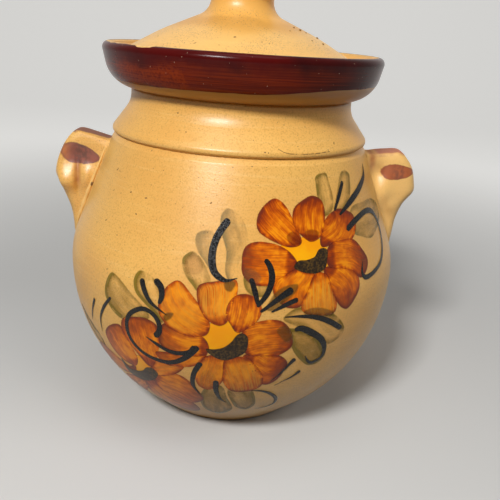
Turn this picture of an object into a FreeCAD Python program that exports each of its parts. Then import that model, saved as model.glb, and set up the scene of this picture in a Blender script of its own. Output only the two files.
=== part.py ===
"""A lidded earthenware jar: a thrown pot with two lug handles and a loose saucer-shaped lid.

Millimetres, +Z up. The origin is the middle of the foot, on the surface that the jar stands on,
and the handles lie on the X axis. Every thrown piece is an outline turned about an upright axis.
An outline is a list of corners (radius, height, rounding), and a corner with a rounding is an arc.
"""

import FreeCAD
import Part

import math
import os

# Jar, outside
FOOT_R = 43.8
LOWER_RISE = 43.4
BELLY_R = 90.3
BELLY_Z = 86.0
BELLY_ROUND = 97.0
SHOULDER_ROUND = 48.0
SHOULDER_LEAN = 21.6
LUTE_Z = 154.2
SHOULDER_EDGE_H = 2.6
SHOULDER_EDGE_ROUND = 2.0

# Jar, inside
WALL = 6.0
FLOOR_T = 8.0
FLOOR_ROUND = 9.0
FOOT_RECESS_R = 33.0
FOOT_RECESS_H = 1.6

# Collar that stands on the shoulder and ends in the mouth
COLLAR_GROOVE_R = 66.0
COLLAR_ROLL_R = 67.7
COLLAR_ROLL_Z = 156.4
COLLAR_ROLL_ROUND = 2.2
COLLAR_LIP_H = 1.2
COLLAR_LIP_ROUND = 1.2
COLLAR_SLOPE = 37.0
NECK_R = 58.1
NECK_ROUND = 13.0
MOUTH_R = 52.0
MOUTH_Z = 177.0
MOUTH_EDGE = 1.2
THROAT_Z = 166.0
THROAT_ROUND = 6.0

# Lid saucer
LID_R = 73.0
LID_TOP_Z = 198.7
LID_SEAT_R = 58.3
LID_UNDER_RISE = 15.0
LID_WALL_LEAN = 12.6
LID_UNDER_ROUND = 15.0
RIM_T = 4.4
RIM_ROUND = 3.0
RIM_INNER_ROUND = 1.2
GUTTER_R = 65.8
GUTTER_Z = 188.8
GUTTER_ROUND = 2.6

# Dome that rises out of the saucer, thrown a little to one side of its middle
DOME_SHIFT = -2.4
DOME_ROOT_R = 52.3
DOME_ROOT_H = 1.0
DOME_FOOT_R = 62.5
DOME_BREAK_R = 58.8
DOME_BREAK_Z = 195.6
DOME_BREAK_ROUND = 7.0
DOME_MID_R = 41.0
DOME_MID_Z = 205.6
DOME_MID_ROUND = 110.0
DOME_TOP_R = 26.0
DOME_TOP_Z = 212.0
HOLLOW_R = 46.5
HOLLOW_SIDE_Z = 193.6
HOLLOW_TOP_R = 25.0
HOLLOW_TOP_Z = 203.5
HOLLOW_ROUND = 7.0
HOLLOW_OVERCUT = 1.0

# Ring under the lid that keeps it in the mouth
RING_R = 50.4
RING_H = 10.0
RING_EDGE = 1.2

# Knob on the dome
KNOB_WAIST_R = 16.0
KNOB_FOOT_LEAN = 23.0
KNOB_WAIST_ROUND = 9.0
KNOB_NECK_Z = 224.2
KNOB_NECK_ROUND = 4.0
KNOB_R = 22.0
KNOB_UNDER_Z = 229.0
KNOB_UNDER_ROUND = 4.5
KNOB_SHOULDER_Z = 242.8
KNOB_SHOULDER_ROUND = 9.0
KNOB_TOP_Z = 247.0

# Lug handles: each level is (height at the nose, reach from the jar's axis, half width across)
LEFT_LUG_LEVELS = [
    (86.0, 89.0, 3.4),
    (93.0, 90.8, 4.6),
    (100.0, 91.5, 5.5),
    (107.0, 92.2, 6.3),
    (113.0, 93.9, 7.1),
    (119.0, 96.2, 7.9),
    (124.5, 98.4, 8.5),
    (128.2, 99.9, 8.9),
    (133.0, 99.2, 9.1),
    (139.0, 97.2, 9.0),
    (145.0, 94.2, 8.7),
    (149.2, 91.0, 8.2),
    (152.2, 87.6, 7.6),
]
RIGHT_LUG_LEVELS = [
    (86.0, 88.2, 3.2),
    (93.0, 89.4, 4.4),
    (100.0, 90.0, 5.3),
    (107.0, 90.5, 6.1),
    (113.0, 91.2, 6.9),
    (118.5, 92.5, 7.7),
    (123.4, 94.6, 8.4),
    (127.0, 97.2, 8.8),
    (129.6, 98.6, 9.0),
    (134.0, 98.4, 9.1),
    (139.0, 97.2, 9.0),
    (144.4, 94.8, 8.7),
    (148.2, 91.8, 8.2),
    (151.2, 88.3, 7.6),
]
LUG_KNEE_Z = 128.0
LEFT_TOP_FALL = 14.5
RIGHT_TOP_FALL = 7.5
LUG_TOP_EDGE = 1.6
LUG_ROOT_R = 52.0
LUG_CORNER = 0.6

SAME_POINT = 1e-6

SHOULDER_SLOPE = math.tan(math.radians(SHOULDER_LEAN))
SHOULDER_CORNER_Z = BELLY_Z + SHOULDER_ROUND * math.tan(math.radians(SHOULDER_LEAN) / 2)
SHOULDER_WALL = WALL / math.cos(math.radians(SHOULDER_LEAN))
LOWER_CORNER_Z = (BELLY_R - FOOT_R) * math.tan(math.radians(LOWER_RISE))


def shoulder_radius(height):
    """Outside radius of the straight shoulder at a height."""
    return BELLY_R - (height - SHOULDER_CORNER_Z) * SHOULDER_SLOPE


def outline_edges(corners):
    """Edges of a closed outline in the XZ plane, with an arc at each corner that has a rounding."""
    points = [FreeCAD.Vector(c[0], 0, c[1]) for c in corners]
    rounds = [c[2] if len(c) > 2 else 0.0 for c in corners]
    count = len(points)
    entries = []
    exits = []
    middles = []
    for i, corner in enumerate(points):
        back = (points[i - 1] - corner).normalize()
        ahead = (points[(i + 1) % count] - corner).normalize()
        if rounds[i] == 0.0:
            entries.append(corner)
            exits.append(corner)
            middles.append(None)
            continue
        half = back.getAngle(ahead) / 2
        cut = rounds[i] / math.tan(half)
        bisector = (back + ahead).normalize()
        entries.append(corner + back * cut)
        exits.append(corner + ahead * cut)
        middles.append(corner + bisector * (rounds[i] / math.sin(half) - rounds[i]))
    edges = []
    for i in range(count):
        if middles[i] is not None:
            edges.append(Part.Arc(entries[i], middles[i], exits[i]).toShape())
        start = exits[i]
        end = entries[(i + 1) % count]
        if (end - start).Length > SAME_POINT:
            edges.append(Part.LineSegment(start, end).toShape())
    return edges


def turned(corners, axis_x=0.0):
    """Solid made by turning an outline once round the upright axis at axis_x."""
    face = Part.Face(Part.Wire(Part.__sortEdges__(outline_edges(corners))))
    solid = face.revolve(FreeCAD.Vector(0, 0, 0), FreeCAD.Vector(0, 0, 1), 360)
    solid.translate(FreeCAD.Vector(axis_x, 0, 0))
    return solid


def jar_outside():
    """Corners of the jar's outside, from the foot up to the lute line under the collar."""
    edge_z = LUTE_Z - SHOULDER_EDGE_H
    return [
        (FOOT_R, 0.0),
        (BELLY_R, LOWER_CORNER_Z, BELLY_ROUND),
        (BELLY_R, SHOULDER_CORNER_Z, SHOULDER_ROUND),
        (shoulder_radius(edge_z), edge_z, SHOULDER_EDGE_ROUND),
        (COLLAR_GROOVE_R, LUTE_Z),
    ]


def jar_inside():
    """Corners of the jar's hollow, one wall inside the outline, from the lute line down to the floor."""
    side_r = BELLY_R - WALL
    half_rise = math.radians(LOWER_RISE) / 2
    floor_r = FOOT_R + FLOOR_T / math.tan(2 * half_rise) - WALL / math.sin(2 * half_rise)
    return [
        (shoulder_radius(LUTE_Z) - SHOULDER_WALL, LUTE_Z),
        (side_r, SHOULDER_CORNER_Z - (SHOULDER_WALL - WALL) / SHOULDER_SLOPE, SHOULDER_ROUND - WALL),
        (side_r, LOWER_CORNER_Z + WALL * math.tan(half_rise), BELLY_ROUND - WALL),
        (floor_r, FLOOR_T, FLOOR_ROUND),
        (0.0, FLOOR_T),
    ]


def jar_body():
    """The thrown pot: foot, belly and shoulder, hollow inside, with a turned recess under the foot."""
    foot = [
        (0.0, FOOT_RECESS_H),
        (FOOT_RECESS_R - FOOT_RECESS_H, FOOT_RECESS_H),
        (FOOT_RECESS_R, 0.0),
    ]
    return turned(jar_outside() + jar_inside() + foot)


def neck_collar():
    """The flared collar luted on the shoulder. Its flat top is the mouth that carries the lid."""
    slope = math.radians(COLLAR_SLOPE)
    roll_corner_z = COLLAR_ROLL_Z + COLLAR_ROLL_ROUND * math.tan(slope / 2)
    neck_corner_z = roll_corner_z + (COLLAR_ROLL_R - NECK_R) / math.tan(slope)
    return turned(
        [
            (COLLAR_GROOVE_R, LUTE_Z),
            (COLLAR_ROLL_R, LUTE_Z + COLLAR_LIP_H, COLLAR_LIP_ROUND),
            (COLLAR_ROLL_R, roll_corner_z, COLLAR_ROLL_ROUND),
            (NECK_R, neck_corner_z, NECK_ROUND),
            (NECK_R, MOUTH_Z, MOUTH_EDGE),
            (MOUTH_R, MOUTH_Z, MOUTH_EDGE),
            (MOUTH_R, THROAT_Z, THROAT_ROUND),
            (shoulder_radius(LUTE_Z) - SHOULDER_WALL, LUTE_Z),
        ]
    )


def lug_section(height, reach, half_width, fall_angle):
    """Wire across a lug on the +X side: square at the root inside the wall, rounded at its nose.

    The wire falls towards the jar by the given angle.
    """
    corner = LUG_CORNER * half_width
    diagonal = corner * (1 - math.sqrt(0.5))
    nose = reach - corner
    side = half_width - corner
    fall = math.tan(math.radians(fall_angle))

    def at(x, y):
        return FreeCAD.Vector(x, y, height - (reach - x) * fall)

    def line(start, end):
        return Part.LineSegment(start, end).toShape()

    def arc(start, middle, end):
        return Part.Arc(start, middle, end).toShape()

    return Part.Wire(
        [
            line(at(LUG_ROOT_R, -half_width), at(nose, -half_width)),
            arc(at(nose, -half_width), at(reach - diagonal, -half_width + diagonal), at(reach, -side)),
            line(at(reach, -side), at(reach, side)),
            arc(at(reach, side), at(reach - diagonal, half_width - diagonal), at(nose, half_width)),
            line(at(nose, half_width), at(LUG_ROOT_R, half_width)),
            line(at(LUG_ROOT_R, half_width), at(LUG_ROOT_R, -half_width)),
        ]
    )


def lug(turn, levels, top_fall):
    """A lug handle: an ear with a flat top that falls towards the jar, tapered down into the belly."""
    knee_to_top = levels[-1][0] - LUG_KNEE_Z
    sections = []
    for height, reach, half_width in levels:
        lean = max(0.0, height - LUG_KNEE_Z) / knee_to_top
        sections.append(lug_section(height, reach, half_width, top_fall * lean))
    ear = Part.makeLoft(sections, True, False)
    top = max(ear.Faces, key=lambda face: face.CenterOfMass.z)
    rim = [edge for edge in top.Edges if edge.BoundBox.XMax > LUG_ROOT_R + LUG_CORNER]
    ear = ear.makeFillet(LUG_TOP_EDGE, rim)
    jar_filled = turned(jar_outside() + [(0.0, LUTE_Z), (0.0, 0.0)])
    ear = max(ear.cut(jar_filled).Solids, key=lambda solid: solid.Volume)
    ear.rotate(FreeCAD.Vector(0, 0, 0), FreeCAD.Vector(0, 0, 1), turn)
    return ear


def lid_saucer():
    """The lid: a saucer with an upright rim, and a hollow dome that stands in it."""
    under_slope = math.tan(math.radians(LID_UNDER_RISE))
    wall_slope = math.tan(math.radians(LID_WALL_LEAN))
    rise = LID_TOP_Z - MOUTH_Z
    reach = (LID_R - LID_SEAT_R - rise * wall_slope) / (1 - under_slope * wall_slope)
    saucer = turned(
        [
            (0.0, MOUTH_Z),
            (LID_SEAT_R, MOUTH_Z),
            (LID_SEAT_R + reach, MOUTH_Z + reach * under_slope, LID_UNDER_ROUND),
            (LID_R, LID_TOP_Z, RIM_ROUND),
            (LID_R - RIM_T, LID_TOP_Z, RIM_INNER_ROUND),
            (GUTTER_R, GUTTER_Z, GUTTER_ROUND),
            (0.0, GUTTER_Z),
        ]
    )
    dome = turned(
        [
            (0.0, MOUTH_Z + DOME_ROOT_H),
            (DOME_ROOT_R, MOUTH_Z + DOME_ROOT_H),
            (DOME_FOOT_R, GUTTER_Z),
            (DOME_BREAK_R, DOME_BREAK_Z, DOME_BREAK_ROUND),
            (DOME_MID_R, DOME_MID_Z, DOME_MID_ROUND),
            (DOME_TOP_R, DOME_TOP_Z),
            (0.0, DOME_TOP_Z),
        ],
        DOME_SHIFT,
    )
    hollow = turned(
        [
            (0.0, MOUTH_Z - HOLLOW_OVERCUT),
            (HOLLOW_R, MOUTH_Z - HOLLOW_OVERCUT),
            (HOLLOW_R, HOLLOW_SIDE_Z, HOLLOW_ROUND),
            (HOLLOW_TOP_R, HOLLOW_TOP_Z, HOLLOW_ROUND),
            (0.0, HOLLOW_TOP_Z),
        ]
    )
    return saucer.fuse(dome).cut(hollow).removeSplitter()


def lid_ring():
    """The locating ring luted under the lid, which hangs inside the mouth."""
    foot_z = MOUTH_Z - RING_H
    return turned(
        [
            (HOLLOW_R, MOUTH_Z),
            (HOLLOW_R, foot_z, RING_EDGE),
            (RING_R, foot_z, RING_EDGE),
            (RING_R, MOUTH_Z),
        ]
    )


def lid_knob():
    """The knob luted on the dome: a flared foot, a waist and a round head."""
    waist_corner_z = DOME_TOP_Z + (DOME_TOP_R - KNOB_WAIST_R) * math.tan(math.radians(KNOB_FOOT_LEAN))
    return turned(
        [
            (0.0, DOME_TOP_Z),
            (DOME_TOP_R, DOME_TOP_Z),
            (KNOB_WAIST_R, waist_corner_z, KNOB_WAIST_ROUND),
            (KNOB_WAIST_R, KNOB_NECK_Z, KNOB_NECK_ROUND),
            (KNOB_R, KNOB_UNDER_Z, KNOB_UNDER_ROUND),
            (KNOB_R, KNOB_SHOULDER_Z, KNOB_SHOULDER_ROUND),
            (0.0, KNOB_TOP_Z),
        ],
        DOME_SHIFT,
    )


def main():
    pieces = {
        "jar_body": jar_body(),
        "neck_collar": neck_collar(),
        "left_handle": lug(180, LEFT_LUG_LEVELS, LEFT_TOP_FALL),
        "right_handle": lug(0, RIGHT_LUG_LEVELS, RIGHT_TOP_FALL),
        "lid_saucer": lid_saucer(),
        "lid_ring": lid_ring(),
        "lid_knob": lid_knob(),
    }
    os.makedirs("parts", exist_ok=True)
    for name, solid in pieces.items():
        assert solid.isValid() and len(solid.Solids) == 1, name
        solid.exportStep(f"parts/{name}.step")
        print(f"{name}: {solid.Volume / 1000:.1f} cm3")


main()
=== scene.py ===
"""Looks of a lidded earthenware jar: its glaze, its painted rim and the flower spray on its belly.

Metres, in the frame of the part: +Z up, the middle of the foot at the origin, the painted front towards -Y.
A length in millimetres is multiplied by MM. The brushwork is placed by (x, y) pixels of the 500 by 500
reference picture: a ray from the camera through the pixel finds the spot on the pot. Turns are angles about
the jar's axis, 0 at the front and positive towards the right handle.
"""

import math
from collections import namedtuple

import bmesh
import bpy
import numpy as np
from mathutils import Matrix, Vector, noise
from mathutils.bvhtree import BVHTree


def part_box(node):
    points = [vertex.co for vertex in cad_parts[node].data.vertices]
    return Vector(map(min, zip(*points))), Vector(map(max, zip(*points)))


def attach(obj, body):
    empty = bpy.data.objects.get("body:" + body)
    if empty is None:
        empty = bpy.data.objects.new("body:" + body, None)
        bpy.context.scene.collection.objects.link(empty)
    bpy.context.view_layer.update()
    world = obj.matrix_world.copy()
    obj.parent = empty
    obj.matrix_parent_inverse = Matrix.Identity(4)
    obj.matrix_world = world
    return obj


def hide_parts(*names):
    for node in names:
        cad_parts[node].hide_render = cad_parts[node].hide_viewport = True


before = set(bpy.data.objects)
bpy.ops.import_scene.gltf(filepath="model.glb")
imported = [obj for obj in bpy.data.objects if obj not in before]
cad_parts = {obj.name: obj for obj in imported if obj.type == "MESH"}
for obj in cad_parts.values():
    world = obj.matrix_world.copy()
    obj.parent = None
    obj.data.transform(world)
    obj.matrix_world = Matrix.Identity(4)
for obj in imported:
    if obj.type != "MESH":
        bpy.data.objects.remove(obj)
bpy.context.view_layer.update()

MM = 0.001
MM_PER_M = 1000.0

# Camera of the reference picture
IMAGE_PX = 500
FOCAL_PX = 600
SENSOR_MM = 36.0
EYE = Vector((0, -330, 208)) * MM
PITCH = math.radians(20.12)
YAW = math.radians(1.71)
ROLL = math.radians(3.86)
NEAR_CLIP = 0.01


def camera_axes():
    """Right, up and ahead of the camera."""
    level_ahead = Vector((math.sin(YAW), math.cos(YAW), 0))
    ahead = level_ahead * math.cos(PITCH) - Vector((0, 0, math.sin(PITCH)))
    level = ahead.cross(Vector((0, 0, 1))).normalized()
    above = level.cross(ahead)
    right = level * math.cos(ROLL) + above * math.sin(ROLL)
    up = above * math.cos(ROLL) - level * math.sin(ROLL)
    return right, up, ahead


RIGHT, UP, AHEAD = camera_axes()


def pixel_ray(x, y):
    """Direction from the eye through a pixel."""
    across = (x - IMAGE_PX / 2) / FOCAL_PX
    down = (y - IMAGE_PX / 2) / FOCAL_PX
    return (AHEAD + RIGHT * across - UP * down).normalized()


def add_camera():
    data = bpy.data.cameras.new("picture_camera")
    data.sensor_width = SENSOR_MM
    data.lens = SENSOR_MM * FOCAL_PX / IMAGE_PX
    data.clip_start = NEAR_CLIP
    camera = bpy.data.objects.new("picture_camera", data)
    turn = Matrix((RIGHT, UP, -AHEAD)).transposed().to_4x4()
    camera.matrix_world = Matrix.Translation(EYE) @ turn
    bpy.context.scene.collection.objects.link(camera)
    bpy.context.scene.camera = camera


# Surfaces that carry paint

Beyond = namedtuple("Beyond", "turn_deg height_mm")


def ray_tree(mesh):
    corners = [vertex.co for vertex in mesh.vertices]
    faces = [tuple(face.vertices) for face in mesh.polygons]
    return BVHTree.FromPolygons(corners, faces)


def level_casts(low, high, step=0.25 * MM):
    """Casts straight at the axis, at every height between two."""
    return [(0.0, height, 0.0) for height in np.arange(low, high, step)]


class Turned:
    """The outside of a turned node, read off by rays: radius and height by length along the outline.

    A cast is (radius, height, rise in degrees): a ray that comes in at that rise towards that spot.
    Flat coordinates of a spot are its turn times a fixed radius, and its length along the outline.
    """

    SIDES = 12
    FAR = 0.3

    def __init__(self, node, casts):
        self.tree = ray_tree(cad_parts[node].data)
        outline = np.array([self.cast(*cast) for cast in casts])
        self.radii, self.heights = outline.T
        self.lengths = lengths_along(outline)
        self.rise = np.gradient(self.heights, self.lengths)
        self.spread = np.gradient(self.radii, self.lengths)
        self.flat_radius = self.radii.max()

    def cast(self, radius, height, rise_deg):
        """Radius and height of the farthest of the spots that casts from all sides meet."""
        out = math.cos(math.radians(rise_deg))
        up = math.sin(math.radians(rise_deg))
        reach = []
        for side in range(self.SIDES):
            turn = 2 * math.pi * side / self.SIDES
            outward = Vector((math.sin(turn), -math.cos(turn), 0))
            toward = outward * out + Vector((0, 0, up))
            start = outward * radius + Vector((0, 0, height)) + toward * self.FAR
            reach.append(self.FAR - self.tree.ray_cast(start, -toward)[3])
        return radius + out * max(reach), height + up * max(reach)

    def flat(self, spot):
        """Flat coordinates of a pixel of the picture, or of a Beyond spot that the picture can't show."""
        if isinstance(spot, Beyond):
            turn = math.radians(spot.turn_deg)
            height = spot.height_mm * MM
        else:
            hit = self.tree.ray_cast(EYE, pixel_ray(*spot))[0]
            assert hit is not None, f"pixel {spot} misses the surface"
            turn = math.atan2(hit.x, -hit.y)
            height = hit.z
        return np.array([turn * self.flat_radius, np.interp(height, self.heights, self.lengths)])

    def place(self, flat, lift):
        """Points at flat coordinates, lifted off the surface along its normal."""
        turn = flat[..., 0] / self.flat_radius
        length = flat[..., 1]
        outline = (self.radii, self.heights, self.rise, self.spread)
        radius, height, rise, spread = [np.interp(length, self.lengths, values) for values in outline]
        radius = radius + lift * rise
        height = height - lift * spread
        return np.stack([radius * np.sin(turn), -radius * np.cos(turn), height], axis=-1)


# Curves and paint patches

SPAN_SAMPLES = 14
# The noise of a wavering edge is read along one axis, at a start and at steps per seed along the other two
WAVER_START = 0.5
WAVER_STEPS = (7.31, 3.77)
PATCH_WAVES = 9
OTHER_SIDE_SEED = 0.5
LINE_WAVES_PER_MM = 0.35
LINE_MOST_RAG = 0.3
LINE_LEAST_HALF = 1e-6
Grid = namedtuple("Grid", "points along across run reach edge")


def curve_through(points, closed=False):
    """A smooth curve through points: a centripetal Catmull-Rom spline."""
    points = np.asarray(points, float)
    if closed:
        padded = np.vstack([points[-1:], points, points[:2]])
    else:
        padded = np.vstack([2 * points[0] - points[1], points, 2 * points[-1] - points[-2]])
    spans = []
    for a, b, c, d in zip(padded, padded[1:], padded[2:], padded[3:]):
        k1 = np.linalg.norm(b - a) ** 0.5
        k2 = k1 + np.linalg.norm(c - b) ** 0.5
        k3 = k2 + np.linalg.norm(d - c) ** 0.5
        t = np.linspace(k1, k2, SPAN_SAMPLES, endpoint=False)[:, None]
        ab = (k1 - t) / k1 * a + t / k1 * b
        bc = (k2 - t) / (k2 - k1) * b + (t - k1) / (k2 - k1) * c
        cd = (k3 - t) / (k3 - k2) * c + (t - k2) / (k3 - k2) * d
        abc = (k2 - t) / k2 * ab + t / k2 * bc
        bcd = (k3 - t) / (k3 - k1) * bc + (t - k1) / (k3 - k1) * cd
        spans.append((k2 - t) / (k2 - k1) * abc + (t - k1) / (k2 - k1) * bcd)
    if not closed:
        spans.append(points[-1:])
    return np.vstack(spans)


def lengths_along(points):
    """Length of a line from its start to each of its points."""
    steps = np.linalg.norm(np.diff(points, axis=0), axis=1)
    return np.concatenate([[0.0], np.cumsum(steps)])


def resampled(points, shares):
    """Points at shares, from 0 to 1, of a curve's length, and that length."""
    lengths = lengths_along(points)
    at = shares * lengths[-1]
    return np.stack([np.interp(at, lengths, axis) for axis in points.T], axis=1), lengths[-1]


def end_heavy(count, weight=0.75):
    """Shares from 0 to 1 that crowd towards both ends, where outlines are round."""
    even = np.linspace(0, 1, count)
    return weight * (1 - np.cos(math.pi * even)) / 2 + (1 - weight) * even


def waver(seed, position):
    """A smooth random number from -1 to 1 at a position along an edge."""
    first, second = WAVER_STEPS
    return noise.noise(Vector((seed * first + WAVER_START, position, seed * second)))


def swollen(outline, split, swell):
    """A closed outline moved outwards, by one amount at its base and another at its tip."""
    base, tip = swell
    towards_tip = np.concatenate([np.linspace(0, 1, split), np.linspace(1, 0, len(outline) - split)])
    amount = (base + (tip - base) * towards_tip)[:, None]
    heading = np.roll(outline, -1, axis=0) - np.roll(outline, 1, axis=0)
    heading /= np.linalg.norm(heading, axis=1)[:, None]
    x, y = outline.T
    turning = np.sign(np.sum(x * np.roll(y, -1) - y * np.roll(x, -1)))
    return outline + turning * amount * np.stack([heading[:, 1], -heading[:, 0]], axis=1)


def filled_outline(flat, tip_index, seed, swell, rag=0.10 * MM, rows=30, columns=16):
    """Grid over a closed outline that starts at its base and reaches its tip at tip_index."""
    split = tip_index * SPAN_SAMPLES
    outline = swollen(curve_through(flat, closed=True), split, swell)
    shares = end_heavy(rows + 1)
    one, reach_one = resampled(outline[: split + 1], shares)
    back = np.vstack([outline[split:], outline[:1]])[::-1]
    other, reach_other = resampled(back, shares)
    run = (reach_one + reach_other) / 2
    for row in range(1, rows):
        side = one[row] - other[row]
        side /= np.linalg.norm(side)
        one[row] += side * rag * waver(seed, shares[row] * PATCH_WAVES)
        other[row] -= side * rag * waver(seed + OTHER_SIDE_SEED, shares[row] * PATCH_WAVES)
    across = np.linspace(-1, 1, columns + 1)
    mix = (across[None, :, None] + 1) / 2
    points = one[:, None] * (1 - mix) + other[:, None] * mix
    half = np.linalg.norm(one - other, axis=1) / 2
    edge = np.linalg.norm(points[:, :, None] - outline[None, None], axis=3).min(axis=2)
    edge[:, [0, -1]] = 0
    return Grid(points, shares, across, shares * run, half[:, None] * across, edge)


def drawn_line(flat, widths, seed, rag=0.08 * MM, rows=44, columns=4):
    """Grid over a brush line through flat points, with a width at each of them and round ends."""
    curve = curve_through(flat)
    shares = end_heavy(rows + 1, weight=0.4)
    spine, run = resampled(curve, shares)
    knots = lengths_along(curve)[::SPAN_SAMPLES]
    half = np.interp(shares * run, knots, widths) / 2
    for end in (shares * run, (1 - shares) * run):
        inset = np.clip(1 - end / np.maximum(half, LINE_LEAST_HALF), 0, 1)
        half = half * np.sqrt(1 - inset ** 2)
    heading = np.gradient(spine, shares, axis=0)
    heading /= np.linalg.norm(heading, axis=1)[:, None]
    side = np.stack([-heading[:, 1], heading[:, 0]], axis=1)
    ragged = np.array([rag * waver(seed, share * run / MM * LINE_WAVES_PER_MM) for share in shares])
    half = half + np.minimum(np.abs(ragged), half * LINE_MOST_RAG) * np.sign(ragged)
    across = np.linspace(-1, 1, columns + 1)
    points = spine[:, None] + side[:, None] * (half[:, None] * across)[..., None]
    edge = half[:, None] * (1 - np.abs(across))
    return Grid(points, shares, across, shares * run, half[:, None] * across, edge)


class Film:
    """A piece made of thin closed patches of paint that lie on a surface and sink a little into it.

    Its corners carry what the paints read: brush (run and reach in mm, and the seed of the stroke), place
    (along, across, and the distance from the edge in mm) and load.
    """

    SUNK = -0.12 * MM

    def __init__(self, name, surface):
        self.name = name
        self.surface = surface
        self.corners = []
        self.faces = []
        self.walls = []
        self.brush = []
        self.place = []
        self.load = []

    def add(self, grid, lift, seed, load=(0, 0, 0)):
        """One patch. A patch whose first or last row is a single spot ends in a point there."""
        rows, columns = grid.points.shape[:2]
        layers = []
        for height in (lift, self.SUNK):
            placed = self.surface.place(grid.points, height)
            index = np.zeros((rows, columns), int)
            for row in range(rows):
                pointed = row in (0, rows - 1)
                for column in range(1 if pointed else columns):
                    index[row, column] = len(self.corners)
                    self.corners.append(placed[row, column])
                    self.brush.append((grid.run[row] / MM, grid.reach[row, column] / MM, seed))
                    self.place.append((grid.along[row], grid.across[column], grid.edge[row, column] / MM))
                    self.load.append(load)
                if pointed:
                    index[row, :] = index[row, 0]
            layers.append(index)
            for row in range(rows - 1):
                for column in range(columns - 1):
                    self.add_face(index[row, column], index[row, column + 1],
                                  index[row + 1, column + 1], index[row + 1, column])
        top, bottom = layers
        for column in (0, columns - 1):
            for row in range(rows - 1):
                self.walls.append(len(self.faces))
                self.add_face(top[row, column], top[row + 1, column],
                              bottom[row + 1, column], bottom[row, column])

    def add_face(self, *indices):
        self.faces.append(tuple(dict.fromkeys(int(i) for i in indices)))

    def build(self, material, body, slot):
        mesh = bpy.data.meshes.new(self.name)
        mesh.from_pydata(self.corners, [], self.faces)
        sharp = {key for wall in self.walls for key in mesh.polygons[wall].edge_keys}
        for edge in mesh.edges:
            edge.use_edge_sharp = edge.key in sharp
        for label, values in (("brush", self.brush), ("place", self.place), ("load", self.load)):
            attribute = mesh.attributes.new(label, "FLOAT_VECTOR", "POINT")
            attribute.data.foreach_set("vector", np.array(values, np.float32).ravel())
        return add_piece(mesh, material, body)


def smooth_faces(mesh):
    mesh.polygons.foreach_set("use_smooth", np.ones(len(mesh.polygons), bool))


def add_piece(mesh, material, body):
    """An object for a mesh, with smooth and outward faces, that rides on a body."""
    smooth_faces(mesh)
    shell = bmesh.new()
    shell.from_mesh(mesh)
    bmesh.ops.recalc_face_normals(shell, faces=shell.faces)
    shell.to_mesh(mesh)
    shell.free()
    mesh.materials.append(material)
    piece = bpy.data.objects.new(mesh.name, mesh)
    bpy.context.scene.collection.objects.link(piece)
    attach(piece, body)
    return piece


# Materials

OCHRE = (0.80, 0.448, 0.110, 1)
OCHRE_WARM = (0.73, 0.375, 0.085, 1)
OCHRE_PALE = (0.83, 0.51, 0.165, 1)
OCHRE_GRAIN = (0.60, 0.305, 0.065, 1)
OCHRE_GOLDEN = (0.77, 0.395, 0.078, 1)
OCHRE_PAINTED_SHADE = (0.34, 0.130, 0.012, 1)
DUST = (0.42, 0.25, 0.115, 1)
UMBER = (0.07, 0.032, 0.012, 1)
CLAY = (0.46, 0.23, 0.12, 1)
DIRT = (0.11, 0.050, 0.016, 1)
DIRT_PALE = (0.34, 0.175, 0.055, 1)
WINE = (0.068, 0.0012, 0.0007, 1)
WINE_DARK = (0.030, 0.0008, 0.0007, 1)
RUST = (0.225, 0.024, 0.0006, 1)
RIM_PINHOLE = (0.55, 0.36, 0.25, 1)
CREAM = (0.80, 0.37, 0.035, 1)
# Petal colours from the thinnest paint to the deepest
PETAL_TONES = (
    (0.0, (0.84, 0.270, 0.004, 1)), (0.22, (0.67, 0.145, 0.001, 1)), (0.45, (0.44, 0.068, 0.0005, 1)),
    (0.70, (0.26, 0.031, 0.001, 1)), (1.0, (0.15, 0.020, 0.006, 1)))
LEAF_OLIVE = (0.215, 0.138, 0.010, 1)
LEAF_GREY = (0.30, 0.235, 0.110, 1)
TINT_BROWN = (0.20, 0.085, 0.010, 1)
TINT_OLIVE = (0.13, 0.070, 0.010, 1)
TINT_GREY = (0.23, 0.120, 0.070, 1)
TINT_RED = (0.24, 0.030, 0.001, 1)
YELLOW = (0.92, 0.33, 0.001, 1)
YELLOW_LIGHT = (0.94, 0.41, 0.002, 1)
CRESCENT_BLACK = (0.016, 0.008, 0.003, 1)
CRESCENT_OLIVE = (0.095, 0.050, 0.009, 1)
BLACK = (0.0055, 0.0050, 0.0050, 1)
BLACK_DRY = (0.022, 0.018, 0.014, 1)

GLAZE_DEPTH_MM = 0.05
GLAZE_ROUGHNESS = 0.24
GLAZE_GRAIN_ROUGHER = 0.24
GLAZE_GLOSS = 0.5
LUG_GLOSS = 0.8
CLAY_ROUGHNESS = 0.8
# Heights under which the foot is bare clay, and over which it is glazed
BARE_FOOT_MM = 0.4
GLAZED_FOOT_MM = 1.6
# Stretch of the noise that draws the lines left by throwing
THROWING_LINES = (0.02, 0.02, 0.75)
LID_PALE = 0.6
# Distances from the lid's axis, blurred by clouds, at which a colour begins and at which it is full
LID_BLUR_MM = 14.0
LID_GOLDEN_MM = (50, 35)
LID_SHADE_RING_INNER_MM = (28, 33)
LID_SHADE_RING_OUTER_MM = (48, 36)
PAINT_ROUGHNESS = 0.30
PAINT_GLOSS = 0.3
PETAL_GLOSS = 0.25
PETAL_DEPTH = 0.12
LEAF_DENSITY = 0.27
LEAF_COVER = 0.95
TINT_DENSITY = 0.62
BLACK_ROUGHNESS = 0.13
BLACK_GRAINS_ROUGHER = 0.32
RIM_ROUGHNESS = 0.22
RIM_GLOSS = 0.12
DIRT_ROUGHNESS = 0.6
# Shifts of the noise that keep glazes and brush strokes from looking alike
GLAZES_APART_MM = (131.0, 57.0, 0.0)
STROKES_APART = 13.7
NOISE_MEAN = 0.5
# Shares of a speck's largest size over which its edge fades, outwards and inwards
SPECK_SOFT_OUT = 0.25
SPECK_SOFT_IN = 0.1


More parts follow.
